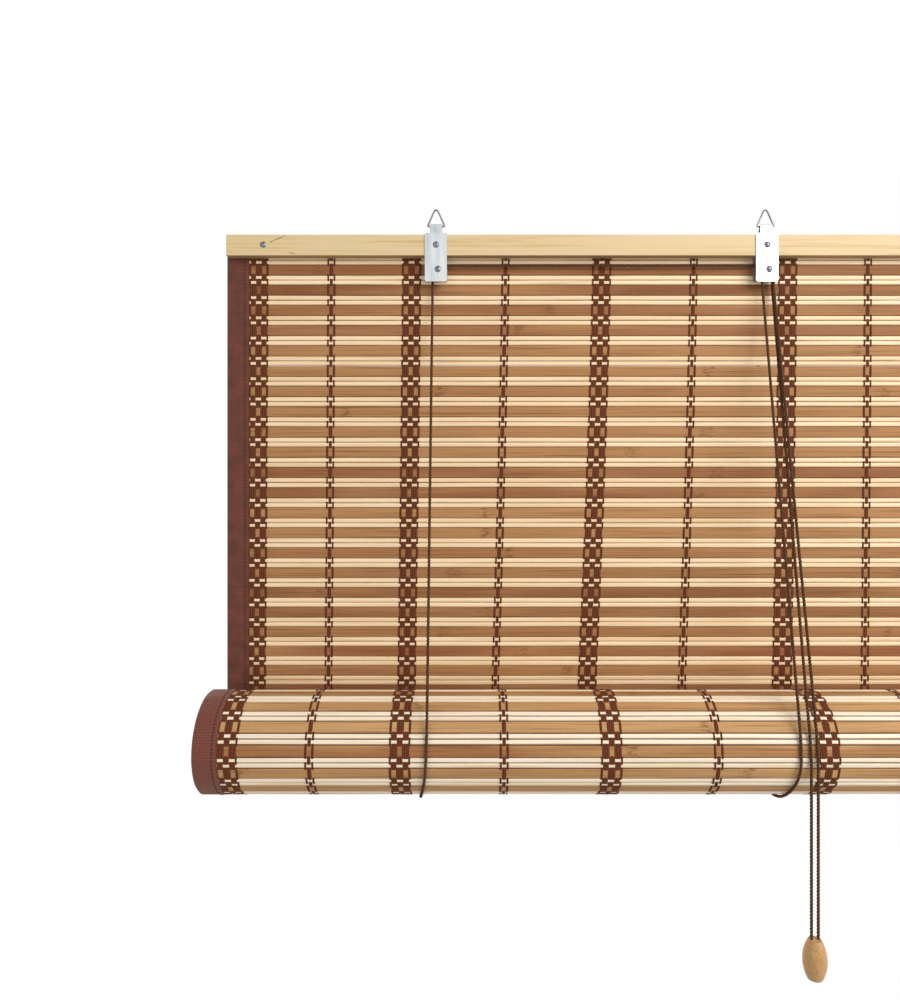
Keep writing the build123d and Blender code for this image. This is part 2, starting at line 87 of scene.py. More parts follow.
# Places read from the frame
MAT_Y = middle("hanging_mat").y
MAT_TOP = highest("hanging_mat").z
MAT_BOTTOM = lowest("hanging_mat").z
EDGE_X = highest("right_binding").x
TAPE_INNER_X = lowest("right_binding").x
ROLL = middle("roll_warp_bands")
CORD_BACK_Y = middle("left_cord_back").y
LOOP_START_Z = lowest("left_cord_back").z
LIFT_XS = {"left": middle("left_cord_back").x, "right": middle("right_cord_back").x}
AXLE = {"left": middle("left_pulley"), "right": middle("right_pulley")}
KNOB_TOP_Z = highest("pull_knob").z
LIFT_RANGE = next(j for j in frame["joints"] if j["name"] == "roll_lift")["range_m"][1]


def srgb(code):
    """Linear colour of a hex sRGB value."""
    channels = [int(code[i:i + 2], 16) / 255 for i in (0, 2, 4)]
    linear = [c / 12.92 if c <= 0.04045 else ((c + 0.055) / 1.055) ** 2.4 for c in channels]
    return (*linear, 1.0)


def length(label, size_mm, words):
    return bpy.props.FloatProperty(
        name=label, description=words, default=size_mm * MM, precision=5, unit="LENGTH", subtype="DISTANCE"
    )


def colour(label, code, words):
    return bpy.props.FloatVectorProperty(
        name=label, description=words, default=srgb(code), size=4, min=0, max=1, subtype="COLOR"
    )


def number(label, amount, words):
    return bpy.props.FloatProperty(name=label, description=words, default=amount)


class BlindSizes(bpy.types.PropertyGroup):
    """Sizes of what the solids don't show."""

    slat_height: length("Slat height", 10.2, "Height of a wide slat")
    slat_thickness: length("Slat thickness", 2.0, "Thickness of a wide slat")
    slat_rounding: length("Slat rounding", 0.45, "Rounding of a wide slat's long edges")
    stick_height: length("Stick height", 4.45, "Height of a thin stick")
    stick_thickness: length("Stick thickness", 2.6, "Thickness of a thin stick")
    stick_rounding: length("Stick rounding", 1.2, "Rounding of a thin stick's long edges")
    pick_gap: length("Gap", 0.35, "Gap between neighbouring slats and sticks")
    wander: length("Wander", 0.5, "How far a slat strays from a straight line")
    slip: length("Slip", 4.0, "How far the slats have slipped down their warp at most")
    roll_gap: length("Gap on the roll", 0.65, "Gap between slats and sticks on the roll")
    turn_radius: length("Turn radius", 45.5, "Radius at the middle of the outermost turn")
    turn_pitch: length("Turn pitch", 4.2, "Distance between the turns of the roll")
    inner_turns: number("Inner turns", 6.4, "Turns inside the outermost one")
    roll_periods: bpy.props.IntProperty(
        name="Periods round the roll", description="Wide slats in a turn", default=14
    )
    roll_phase: bpy.props.FloatProperty(
        name="Roll phase", description="Angle of the first wide slat",
        default=math.radians(172.8), subtype="ANGLE",
    )
    column_pitch: length("Column pitch", 95.0, "Distance between the inner warp columns")
    edge_inset: length("Edge column inset", 32.3, "Distance of the edge columns from the mat's edge")
    outer_inset: length("Outer column inset", 105.5, "Distance of the outer narrow columns from the edge")
    band_width: length("Band width", 5.2, "Width of a band of yarn in a wide column")
    band_pitch: length("Band pitch", 5.4, "Distance between the bands of a wide column")
    edge_yarn_width: length("Edge yarn width", 1.7, "Width of the single yarns beside the bands")
    narrow_width: length("Narrow band", 2.9, "Width of the band in a narrow column")
    yarn_thickness: length("Yarn thickness", 0.55, "Thickness of the yarn")
    yarn_reach: length("Yarn reach", 1.05, "How far a yarn lies over the slat or stick that it goes under")
    slat_spread: number("Spread on slats", 1.27, "How much wider a yarn lies on a wide slat than on a stick")
    tape_thickness: length("Tape thickness", 0.5, "Thickness of the binding tape")
    stitch_inset: length("Stitch inset", 4.5, "Distance of the seam from the tape's inner edge")
    stitch_pitch: length("Stitch pitch", 3.6, "Length of a stitch with its gap")
    cord_diameter: length("Cord diameter", 3.1, "Diameter of the lift cord")
    cord_twist: length("Cord twist", 9.0, "Length of a full twist of the cord")


class BlindColours(bpy.types.PropertyGroup):
    """Colours of the finishes."""

    rail: colour("Rail", "e2c897", "Planed pine of the rails")
    slat_dark: colour("Slat, dark", "855431", "Darkest wide slats")
    slat_light: colour("Slat, light", "bb8a5a", "Lightest wide slats")
    back_dark: colour("Slat back, dark", "98633a", "Darkest wide slats on the mat's reverse")
    back_light: colour("Slat back, light", "d2a670", "Lightest wide slats on the mat's reverse")
    stick: colour("Stick", "fde2ba", "Thin sticks")
    stick_back: colour("Stick back", "ffeed6", "Thin sticks on the mat's reverse")
    tape: colour("Tape", "683d31", "Binding tape")
    # Painted light: the roll's tape, the tape's reverse, is made lighter and redder for the light from above.
    tape_back: colour("Tape back", "824b3c", "Binding tape on the mat's reverse")
    yarn: colour("Yarn", "5f301b", "Warp yarn")
    cord: colour("Cord", "633d29", "Lift cord")
    zinc: colour("Zinc", "d8dbdc", "Sheet of the brackets")
    knob: colour("Knob", "c79a63", "Turned pull knob")
    nylon: colour("Nylon", "e6e0d2", "Pulley wheels")


def join(tree, made, sockets):
    """Sets a node's sockets, or links them where the value is a node or one of its outputs."""
    for key, value in sockets.items():
        if isinstance(value, bpy.types.Node):
            value = next(out for out in value.outputs if out.enabled)
        if isinstance(value, bpy.types.NodeSocket):
            tree.links.new(value, made.inputs[key])
        else:
            made.inputs[key].default_value = value


def add(tree, kind, settings=None, sockets=None):
    """Adds a node with its settings and links."""
    made = tree.nodes.new(kind)
    for key, value in (settings or {}).items():
        setattr(made, key, value)
    join(tree, made, sockets or {})
    return made


def link(piece):
    bpy.context.scene.collection.objects.link(piece)
    return piece


def smooth(piece, degrees=40):
    piece.data.shade_smooth()
    piece.data.set_sharp_from_angle(angle=math.radians(degrees))
    return piece


# Finishes

RGBA = {"data_type": "RGBA"}
# How far a grain is moved from one bar to the next, in metres for a tone of 1
GRAIN_SHIFT = (3.1, 7.7, 5.3)
# Cane nodes: their distance, the half length of their mark and of its core, and how far it swirls, in mm
NODE_PITCH = 450
NODE_MARK = 9
NODE_CORE = 1
NODE_SWIRL = 22
# The tape's weave and the fuzz of the yarn, in mm, and how close the yarn's plies lie
TAPE_WEFT = 2.2
TAPE_WARP = 2.4
FUZZ = 1.1
PLIES = 9.0
# Turns a slat's tone into the place of its nodes, and into the chance that it is a ruddy one
NODE_SPREAD = 17.0
RUDDY_SPREAD = 7.3


def new_material(name, roughness, specular=0.4, metallic=0.0):
    made = bpy.data.materials.new(name)
    made.use_nodes = True
    tree = made.node_tree
    shader = tree.nodes["Principled BSDF"]
    join(tree, shader, {"Roughness": roughness, "Specular IOR Level": specular, "Metallic": metallic})
    return made, tree, shader


def grain(tree, sizes_mm, shift=None, detail=4.0):
    """Noise with a size along each axis, moved by a value that differs from bar to bar."""
    place = add(tree, "ShaderNodeTexCoord").outputs["Object"]
    if shift is not None:
        far = add(tree, "ShaderNodeVectorMath", {"operation": "SCALE"}, {0: GRAIN_SHIFT, "Scale": shift})
        place = add(tree, "ShaderNodeVectorMath", {"operation": "ADD"}, {0: place, 1: far})
    scale = [1 / (size * MM) for size in sizes_mm]
    mapped = add(tree, "ShaderNodeMapping", {}, {"Vector": place, "Scale": scale})
    return add(tree, "ShaderNodeTexNoise", {}, {"Vector": mapped, "Scale": 1.0, "Detail": detail})


def tint_by(tree, pattern, low, high, under, over):
    """Colour that goes from one to another where a pattern's value rises from low to high."""
    share = add(tree, "ShaderNodeMapRange", {}, {0: pattern, 1: low, 2: high})
    return add(tree, "ShaderNodeMix", RGBA, {0: share, 6: under, 7: over})


# Marks in the front rail: place from the left screw's edge, half length and height in mm, tilt in degrees
PINE_MARKS = ((18.4, 6.1, 10.0, 1.0, 23), (11.2, 3.0, 2.6, 1.1, 10), (31.7, -8.6, 5.0, 0.9, -8))
# Half height of the edge that is taken for the rail's underside, which gets painted shade
UNDERSIDE_SHADE_BAND = 0.25 * MM


def pine_mark(tree, place, along, up, half_length, half_height, tilt):
    """Share of one dark mark, a slim spindle with soft ends."""
    spot = (lowest("rail_screws").x + along * MM, 0, middle("rail_screws").z + up * MM)
    mapped = add(tree, "ShaderNodeMapping", {"vector_type": "TEXTURE"}, {
        "Vector": place, "Location": spot, "Rotation": (0, math.radians(-tilt), 0),
        "Scale": (half_length * MM, 1.0, half_height * MM),
    })
    away = add(tree, "ShaderNodeVectorMath", {"operation": "LENGTH"}, {0: mapped}).outputs["Value"]
    return add(tree, "ShaderNodeMapRange", {}, {0: away, 1: 0.3, 2: 1.0, 3: 0.75, 4: 0.0})


def planed_pine(name, base):
    """Planed pine: pale, dull, with faint grain along the rail, a few marks and painted shade on the
    underside.
    """
    made, tree, shader = new_material(name, 0.55)
    lines = grain(tree, (110, 2.4, 2.4))
    cloud = grain(tree, (140, 17, 17), detail=2.0)
    warm = tint_by(tree, cloud, 0.35, 0.65, base, srgb("e6cb9d"))
    tone = tint_by(tree, lines, 0.52, 0.72, warm, srgb("d6b37c"))
    place = add(tree, "ShaderNodeTexCoord").outputs["Object"]
    for mark in PINE_MARKS:
        share = pine_mark(tree, place, *mark)
        tone = add(tree, "ShaderNodeMix", RGBA, {0: share, 6: tone, 7: srgb("8d6d3f")})
    # The underside is painted darker: painted shade under the rail.
    height = add(tree, "ShaderNodeSeparateXYZ", {}, {0: place}).outputs["Z"]
    under = add(tree, "ShaderNodeMath", {"operation": "COMPARE"}, {
        0: height, 1: lowest("front_rail").z, 2: UNDERSIDE_SHADE_BAND,
    })
    tone = add(tree, "ShaderNodeMix", RGBA, {0: under, 6: tone, 7: srgb("a98c64")})
    ridges = add(tree, "ShaderNodeBump", {}, {"Height": lines, "Distance": 0.08 * MM})
    join(tree, shader, {"Base Color": tone, "Normal": ridges})
    return made


def cane_nodes(tree, tone):
    """Share of the dark mark that the cane's nodes leave, at a place of its own on each slat."""
    place = add(tree, "ShaderNodeTexCoord").outputs["Object"]
    x = add(tree, "ShaderNodeSeparateXYZ", {}, {0: place}).outputs["X"]
    swirl = grain(tree, (9, 3, 3), tone)
    wave = add(tree, "ShaderNodeMath", {"operation": "MULTIPLY_ADD"}, {0: swirl, 1: NODE_SWIRL * MM, 2: x})
    start = add(tree, "ShaderNodeMath", {"operation": "MULTIPLY"}, {0: tone, 1: NODE_SPREAD})
    steps = add(
        tree, "ShaderNodeMath", {"operation": "MULTIPLY_ADD"},
        {0: wave, 1: 1 / (NODE_PITCH * MM), 2: start},
    )
    part = add(tree, "ShaderNodeMath", {"operation": "FRACT"}, {0: steps})
    away = add(tree, "ShaderNodeMath", {"operation": "SUBTRACT"}, {0: part, 1: 0.5})
    near = add(tree, "ShaderNodeMath", {"operation": "ABSOLUTE"}, {0: away})
    mark = add(
        tree, "ShaderNodeMapRange", {},
        {0: near, 1: NODE_CORE / NODE_PITCH, 2: NODE_MARK / NODE_PITCH, 3: 0.9, 4: 0.0},
    )
    flecks = add(tree, "ShaderNodeMapRange", {}, {0: grain(tree, (5, 1.6, 1.6), tone), 1: 0.4, 2: 0.65})
    return add(tree, "ShaderNodeMath", {"operation": "MULTIPLY"}, {0: mark, 1: flecks})


def steamed_bamboo(name, dark, light, ruddy):
    """Steamed bamboo slats: brown, each of its own tone, with fine fibres and the cane's nodes."""
    made, tree, shader = new_material(name, 0.6, 0.2)
    tone = add(tree, "ShaderNodeAttribute", {"attribute_name": "tone"}).outputs["Fac"]
    # Fibres are under 0.3 mm wide, drawn three times as wide to show.
    fibre = grain(tree, (90, 0.9, 0.9), tone)
    patch = grain(tree, (200, 25, 25), tone, detail=2.0)
    own = add(tree, "ShaderNodeMix", RGBA, {0: tone, 6: dark, 7: light})
    spread = add(tree, "ShaderNodeMath", {"operation": "MULTIPLY"}, {0: tone, 1: RUDDY_SPREAD})
    chance = add(tree, "ShaderNodeMath", {"operation": "FRACT"}, {0: spread})
    red = tint_by(tree, chance, 0.4, 1.6, own, ruddy)
    patched = tint_by(tree, patch, 0.45, 0.8, red, light)
    shaded = tint_by(tree, fibre, 0.5, 0.8, patched, srgb("70431f"))
    marked = add(tree, "ShaderNodeMix", RGBA, {0: cane_nodes(tree, tone), 6: shaded, 7: srgb("7d5029")})
    ridges = add(tree, "ShaderNodeBump", {}, {"Height": fibre, "Distance": 0.2 * MM})
    join(tree, shader, {"Base Color": marked, "Normal": ridges})
    return made


def pale_bamboo(name, dark, base):
    """Split bamboo sticks: cream, slightly shiny on their rounded side."""
    made, tree, shader = new_material(name, 0.42)
    tone = add(tree, "ShaderNodeAttribute", {"attribute_name": "tone"}).outputs["Fac"]
    fibre = grain(tree, (100, 1.1, 1.1), tone)
    patch = grain(tree, (170, 20, 20), tone, detail=2.0)
    own = add(tree, "ShaderNodeMix", RGBA, {0: tone, 6: dark, 7: base})
    patched = tint_by(tree, patch, 0.4, 0.7, own, base)
    shaded = tint_by(tree, fibre, 0.55, 0.85, patched, srgb("d3a871"))
    ridges = add(tree, "ShaderNodeBump", {}, {"Height": fibre, "Distance": 0.15 * MM})
    join(tree, shader, {"Base Color": shaded, "Normal": ridges})
    return made


def cotton_tape(name, base):
    """Woven cotton tape: matt brown with a fine plain weave."""
    made, tree, shader = new_material(name, 0.85, 0.2)
    across = add(tree, "ShaderNodeAttribute", {"attribute_name": "across"}).outputs["Fac"]
    along = add(tree, "ShaderNodeAttribute", {"attribute_name": "along"}).outputs["Fac"]
    place = add(tree, "ShaderNodeCombineXYZ", {}, {"X": across, "Y": along})
    # The weave's threads are 0.7 mm apart, drawn three times as coarse to show.
    weft = add(
        tree, "ShaderNodeMath", {"operation": "MULTIPLY"},
        {0: along, 1: 2 * math.pi / (TAPE_WEFT * MM)},
    )
    warp = add(
        tree, "ShaderNodeMath", {"operation": "MULTIPLY"},
        {0: across, 1: 2 * math.pi / (TAPE_WARP * MM)},
    )
    rib = add(tree, "ShaderNodeMath", {"operation": "SINE"}, {0: weft})
    cross = add(tree, "ShaderNodeMath", {"operation": "SINE"}, {0: warp})
    grid = add(tree, "ShaderNodeMath", {"operation": "MULTIPLY"}, {0: rib, 1: cross})
    weave = add(tree, "ShaderNodeMath", {"operation": "MULTIPLY_ADD"}, {0: grid, 1: 1.2, 2: rib})
    cloud = add(tree, "ShaderNodeTexNoise", {}, {"Vector": place, "Scale": 1 / (17 * MM), "Detail": 3.0})
    worn = tint_by(tree, cloud, 0.35, 0.7, base, srgb("80493b"))
    lined = tint_by(tree, weave, 0.0, 2.5, worn, srgb("4c2a21"))
    ridges = add(tree, "ShaderNodeBump", {}, {"Height": weave, "Distance": 0.12 * MM})
    join(tree, shader, {"Base Color": lined, "Normal": ridges, "Sheen Weight": 0.15})
    return made


def warp_cotton(name, base):
    """Cotton warp: brown yarns side by side, rough and matt."""
    made, tree, shader = new_material(name, 0.9, 0.15)
    across = add(tree, "ShaderNodeAttribute", {"attribute_name": "across"}).outputs["Fac"]
    along = add(tree, "ShaderNodeAttribute", {"attribute_name": "along"}).outputs["Fac"]
    place = add(tree, "ShaderNodeCombineXYZ", {}, {"X": across, "Y": along})
    plies = add(tree, "ShaderNodeMath", {"operation": "MULTIPLY"}, {0: across, 1: PLIES})
    ridge = add(tree, "ShaderNodeMath", {"operation": "COSINE"}, {0: plies})
    # The fuzz is less than half a yarn wide.
    mapped = add(tree, "ShaderNodeMapping", {}, {"Vector": place, "Scale": (2.5, 1 / (FUZZ * MM), 1)})
    fuzz = add(tree, "ShaderNodeTexNoise", {}, {"Vector": mapped, "Scale": 1.0, "Detail": 3.0})
    worn = tint_by(tree, fuzz, 0.35, 0.7, srgb("552a10"), base)
    lit = tint_by(tree, ridge, -1.0, 2.0, worn, srgb("7c4a31"))
    ridges = add(tree, "ShaderNodeBump", {}, {"Height": ridge, "Distance": 0.12 * MM})
    join(tree, shader, {"Base Color": lit, "Normal": ridges})
    return made


def twisted_cotton(name, base):
    """Twisted cord: brown strands, with painted shade in the twist's grooves."""
    made, tree, shader = new_material(name, 0.8, 0.2)
    groove = add(tree, "ShaderNodeAttribute", {"attribute_name": "groove"}).outputs["Fac"]
    fuzz = grain(tree, (1.4, 1.4, 1.4), detail=2.0)
    worn = tint_by(tree, fuzz, 0.3, 0.7, base, srgb("85603f"))
    # Painted shade: the grooves between the strands go near black.
    twisted = add(tree, "ShaderNodeMix", RGBA, {0: groove, 6: srgb("1f0f06"), 7: worn})
    ridges = add(tree, "ShaderNodeBump", {}, {"Height": fuzz, "Distance": 0.1 * MM})
    join(tree, shader, {"Base Color": twisted, "Normal": ridges})
    return made


def zinc_sheet(name, base, dull, roughness):
    """Zinc plated steel: bright grey metal with faint rolling marks."""
    made, tree, shader = new_material(name, roughness, 0.5, 1.0)
    marks = grain(tree, (5.5, 5.5, 40))
    tone = tint_by(tree, marks, 0.3, 0.7, base, dull)
    rough = add(
        tree, "ShaderNodeMapRange", {},
        {0: marks, 1: 0.3, 2: 0.7, 3: roughness, 4: roughness + 0.12},
    )
    join(tree, shader, {"Base Color": tone, "Roughness": rough})
    return made


def turned_beech(name, base):
    """Turned beech: warm, lacquered, with short grain flecks."""
    made, tree, shader = new_material(name, 0.35)
    fleck = grain(tree, (1.1, 1.1, 6.3))
    join(tree, shader, {"Base Color": tint_by(tree, fleck, 0.5, 0.75, base, srgb("a97843"))})
    return made


def moulded_nylon(name, base):
    """Moulded nylon: cream, waxy, with a little bloom."""
    made, tree, shader = new_material(name, 0.45)
    bloom = grain(tree, (3.3, 3.3, 3.3), detail=2.0)
    join(tree, shader, {"Base Color": tint_by(tree, bloom, 0.3, 0.7, base, srgb("d8d0bf"))})
    return made


def shaded_gap(name, dark, light):
    """Painted shade for the gaps between slats, where yarn and edges close the view."""
    made, tree, shader = new_material(name, 0.9, 0.1)
    cloud = grain(tree, (25, 3.3, 3.3), detail=2.0)
    join(tree, shader, {"Base Color": tint_by(tree, cloud, 0.3, 0.7, dark, light)})
    return made


def spun_thread(name, base, worn):
    """Spun cotton thread: matt, with a little fuzz."""
    made, tree, shader = new_material(name, 0.85, 0.15)
    fuzz = grain(tree, (1.1, 1.1, 1.1), detail=2.0)
    tone = tint_by(tree, fuzz, 0.3, 0.7, base, worn)
    ridges = add(tree, "ShaderNodeBump", {}, {"Height": fuzz, "Distance": 0.1 * MM})
    join(tree, shader, {"Base Color": tone, "Normal": ridges})
    return made


def finish(name):
    """The finish of that name, made the first time that it is asked for."""
    if name in bpy.data.materials:
        return bpy.data.materials[name]
    tint = bpy.context.scene.blind_colours
    makers = {
        "planed_pine": lambda: planed_pine(name, tint.rail),
        "steamed_bamboo": lambda: steamed_bamboo(name, tint.slat_dark, tint.slat_light, srgb("9f6240")),
        "steamed_bamboo_back": lambda: steamed_bamboo(name, tint.back_dark, tint.back_light, srgb("a1643f")),
        "pale_bamboo": lambda: pale_bamboo(name, srgb("f0cda0"), tint.stick),
        "pale_bamboo_back": lambda: pale_bamboo(name, srgb("f4dcb8"), tint.stick_back),
        "cotton_tape": lambda: cotton_tape(name, tint.tape),
        "cotton_tape_back_lit": lambda: cotton_tape(name, tint.tape_back),
        "warp_cotton": lambda: warp_cotton(name, tint.yarn),
        "twisted_cotton": lambda: twisted_cotton(name, tint.cord),
        "zinc_sheet": lambda: zinc_sheet(name, tint.zinc, srgb("b4b9bb"), 0.32),
        "plated_steel": lambda: zinc_sheet(name, srgb("7b8083"), srgb("63686b"), 0.25),
        "turned_beech": lambda: turned_beech(name, tint.knob),
        "moulded_nylon": lambda: moulded_nylon(name, tint.nylon),
        # Painted shade for the gaps: lighter in the hanging mat, darker inside the roll
        "shaded_gap": lambda: shaded_gap(name, srgb("5e3d20"), srgb("835b34")),
        "deep_gap_shade": lambda: shaded_gap(name, srgb("2e1a0d"), srgb("4a2f1a")),
        "stitch_thread": lambda: spun_thread(name, srgb("47271f"), srgb("57342b")),
        "plain_cotton": lambda: spun_thread(name, tint.cord, srgb("6e4638")),
    }
    return makers[name]()


def paint(material, *nodes):
    """Gives solids of the frame a finish."""
    for name in nodes:
        solid = frame["nodes"][name]
        if not solid.material_slots:
            solid.data.materials.append(material)
        for held in solid.material_slots:
            held.material = material


# Node trees for what repeats

# Bars: points along one, steps of a rounded edge, and how often they wander, in turns to the metre
BAR_POINTS = 48
EDGE_STEPS = 3
WANDER_RATE = 7.0
# Keeps the wander of bars of different tones apart
WANDER_SPREAD = 90.0
# Corners of the yarn's section
YARN_CORNERS = 8
# Stitches: radius before they are drawn out, and how far they are
STITCH_RADIUS = 0.42 * MM
STITCH_STRETCH = (1.1, 1.1, 3.6)
# Cord: points along it and round it, its strands, and its radius in the grooves between them
ROPE_STEP = 1.2 * MM
ROPE_CORNERS = 12
ROPE_STRANDS = 3.0
ROPE_GROOVE = 0.68


def new_tree(name, sockets):
    tree = bpy.data.node_groups.new(name, "GeometryNodeTree")
    tree.interface.new_socket("Geometry", in_out="OUTPUT", socket_type="NodeSocketGeometry")
    tree.interface.new_socket("Geometry", in_out="INPUT", socket_type="NodeSocketGeometry")
    for label, kind in sockets.items():
        tree.interface.new_socket(label, in_out="INPUT", socket_type="NodeSocket" + kind)
    return tree, tree.nodes.new("NodeGroupInput").outputs


def end_tree(tree, geometry, material):
    real = add(tree, "GeometryNodeRealizeInstances", {}, {"Geometry": geometry})
    dressed = add(tree, "GeometryNodeSetMaterial", {}, {"Geometry": real, "Material": material})
    add(tree, "NodeGroupOutput", {}, {"Geometry": dressed})


def bars_tree():
    """Slats or sticks on points, each with its own tone and a slight wander."""
    wanted = {"Length": "Float", "Height": "Float", "Thickness": "Float", "Rounding": "Float"}
    wanted.update({"Wander": "Float", "Seed": "Int", "Material": "Material"})
    tree, given = new_tree("bamboo bars", wanted)
    half = add(tree, "ShaderNodeMath", {"operation": "MULTIPLY"}, {0: given["Length"], 1: 0.5})
    start = add(tree, "ShaderNodeMath", {"operation": "MULTIPLY"}, {0: given["Length"], 1: -0.5})
    left = add(tree, "ShaderNodeCombineXYZ", {}, {"X": start})
    right = add(tree, "ShaderNodeCombineXYZ", {}, {"X": half})
    line = add(tree, "GeometryNodeCurvePrimitiveLine", {}, {"Start": left, "End": right})
    fine = add(tree, "GeometryNodeResampleCurve", {}, {"Curve": line, "Count": BAR_POINTS})
    normal = add(tree, "GeometryNodeSetCurveNormal", {"mode": "FREE"}, {"Curve": fine, "Normal": (0, 1, 0)})
    section = add(
        tree, "GeometryNodeCurvePrimitiveQuadrilateral", {},
        {"Width": given["Thickness"], "Height": given["Height"]},
    )
    soft = add(
        tree, "GeometryNodeFilletCurve", {"mode": "POLY"},
        {"Curve": section, "Count": EDGE_STEPS, "Radius": given["Rounding"]},
    )
    bar = add(
        tree, "GeometryNodeCurveToMesh", {},
        {"Curve": normal, "Profile Curve": soft, "Fill Caps": True},
    )
    turn = add(tree, "GeometryNodeInputNamedAttribute", {"data_type": "FLOAT"}, {"Name": "turn"})
    euler = add(tree, "ShaderNodeCombineXYZ", {}, {"X": turn})
    pose = add(tree, "FunctionNodeEulerToRotation", {}, {0: euler})
    points = add(tree, "GeometryNodeMeshToPoints", {}, {"Mesh": given["Geometry"]})
    placed = add(
        tree, "GeometryNodeInstanceOnPoints", {},
        {"Points": points, "Instance": bar, "Rotation": pose},
    )
    chance = add(tree, "FunctionNodeRandomValue", {"data_type": "FLOAT"}, {"Seed": given["Seed"]})
    toned = add(
        tree, "GeometryNodeStoreNamedAttribute", {"data_type": "FLOAT", "domain": "INSTANCE"},
        {"Geometry": placed, "Name": "tone", "Value": chance},
    )
    real = add(tree, "GeometryNodeRealizeInstances", {}, {"Geometry": toned})
    tone = add(tree, "GeometryNodeInputNamedAttribute", {"data_type": "FLOAT"}, {"Name": "tone"})
    place = add(tree, "GeometryNodeInputPosition")
    apart = add(tree, "ShaderNodeSeparateXYZ", {}, {0: place})
    far = add(tree, "ShaderNodeMath", {"operation": "MULTIPLY"}, {0: tone, 1: WANDER_SPREAD})
    spot = add(tree, "ShaderNodeCombineXYZ", {}, {"X": apart, "Y": far})
    noise = add(
        tree, "ShaderNodeTexNoise", {"noise_dimensions": "2D"},
        {"Vector": spot, "Scale": WANDER_RATE, "Detail": 1.0},
    )
    level = add(
        tree, "ShaderNodeVectorMath", {"operation": "SUBTRACT"},
        {0: noise.outputs[1], 1: (0.5, 0.5, 0.5)},
    )
    sideways = add(tree, "ShaderNodeVectorMath", {"operation": "MULTIPLY"}, {0: level, 1: (0, 0.5, 1)})
    stray = add(
        tree, "ShaderNodeVectorMath", {"operation": "SCALE"},
        {0: sideways, "Scale": given["Wander"]},
    )
    moved = add(tree, "GeometryNodeSetPosition", {}, {"Geometry": real, "Offset": stray})
    end_tree(tree, moved, given["Material"])
    return tree


def yarn_tree():
    """Flat yarn swept along its paths, with its place along and across kept for the finish."""
    tree, given = new_tree("warp yarn", {"Width": "Float", "Thickness": "Float", "Material": "Material"})
    path = add(tree, "GeometryNodeMeshToCurve", {}, {"Mesh": given["Geometry"]})
    spread = add(tree, "GeometryNodeInputNamedAttribute", {"data_type": "FLOAT"}, {"Name": "spread"})
    normal = add(tree, "GeometryNodeSetCurveNormal", {"mode": "FREE"}, {"Curve": path, "Normal": (1, 0, 0)})
    run = add(tree, "GeometryNodeSplineParameter")
    measured = add(
        tree, "GeometryNodeStoreNamedAttribute", {"data_type": "FLOAT", "domain": "POINT"},
        {"Geometry": normal, "Name": "along", "Value": run.outputs["Length"]},
    )
    ring = add(tree, "GeometryNodeCurvePrimitiveCircle", {}, {"Resolution": YARN_CORNERS, "Radius": 1.0})
    place = add(tree, "GeometryNodeInputPosition")
    apart = add(tree, "ShaderNodeSeparateXYZ", {}, {0: place})
    marked = add(
        tree, "GeometryNodeStoreNamedAttribute", {"data_type": "FLOAT", "domain": "POINT"},
        {"Geometry": ring, "Name": "across", "Value": apart},
    )
    wide = add(tree, "ShaderNodeMath", {"operation": "MULTIPLY"}, {0: given["Width"], 1: 0.5})
    thick = add(tree, "ShaderNodeMath", {"operation": "MULTIPLY"}, {0: given["Thickness"], 1: 0.5})
    size = add(tree, "ShaderNodeCombineXYZ", {}, {"X": wide, "Y": thick, "Z": 1.0})
    oval = add(tree, "GeometryNodeTransform", {}, {"Geometry": marked, "Scale": size})
    swept = add(
        tree, "GeometryNodeCurveToMesh", {},
        {"Curve": measured, "Profile Curve": oval, "Scale": spread, "Fill Caps": True},
    )
    end_tree(tree, swept, given["Material"])
    return tree


def stitch_tree():
    """Stitches at an even pitch along a seam."""
    tree, given = new_tree("stitches", {"Pitch": "Float", "Material": "Material"})
    seam = add(tree, "GeometryNodeMeshToCurve", {}, {"Mesh": given["Geometry"]})
    spaced = add(
        tree, "GeometryNodeResampleCurve", {"mode": "LENGTH"},
        {"Curve": seam, "Length": given["Pitch"]},
    )
    heading = add(tree, "GeometryNodeInputTangent")
    pose = add(tree, "FunctionNodeAlignRotationToVector", {"axis": "Z"}, {"Vector": heading})
    bead = add(tree, "GeometryNodeMeshUVSphere", {}, {"Segments": 6, "Rings": 5, "Radius": STITCH_RADIUS})
    drawn = add(tree, "GeometryNodeTransform", {}, {"Geometry": bead, "Scale": STITCH_STRETCH})
    placed = add(
        tree, "GeometryNodeInstanceOnPoints", {},
        {"Points": spaced, "Instance": drawn, "Rotation": pose},
    )
    end_tree(tree, placed, given["Material"])
    return tree


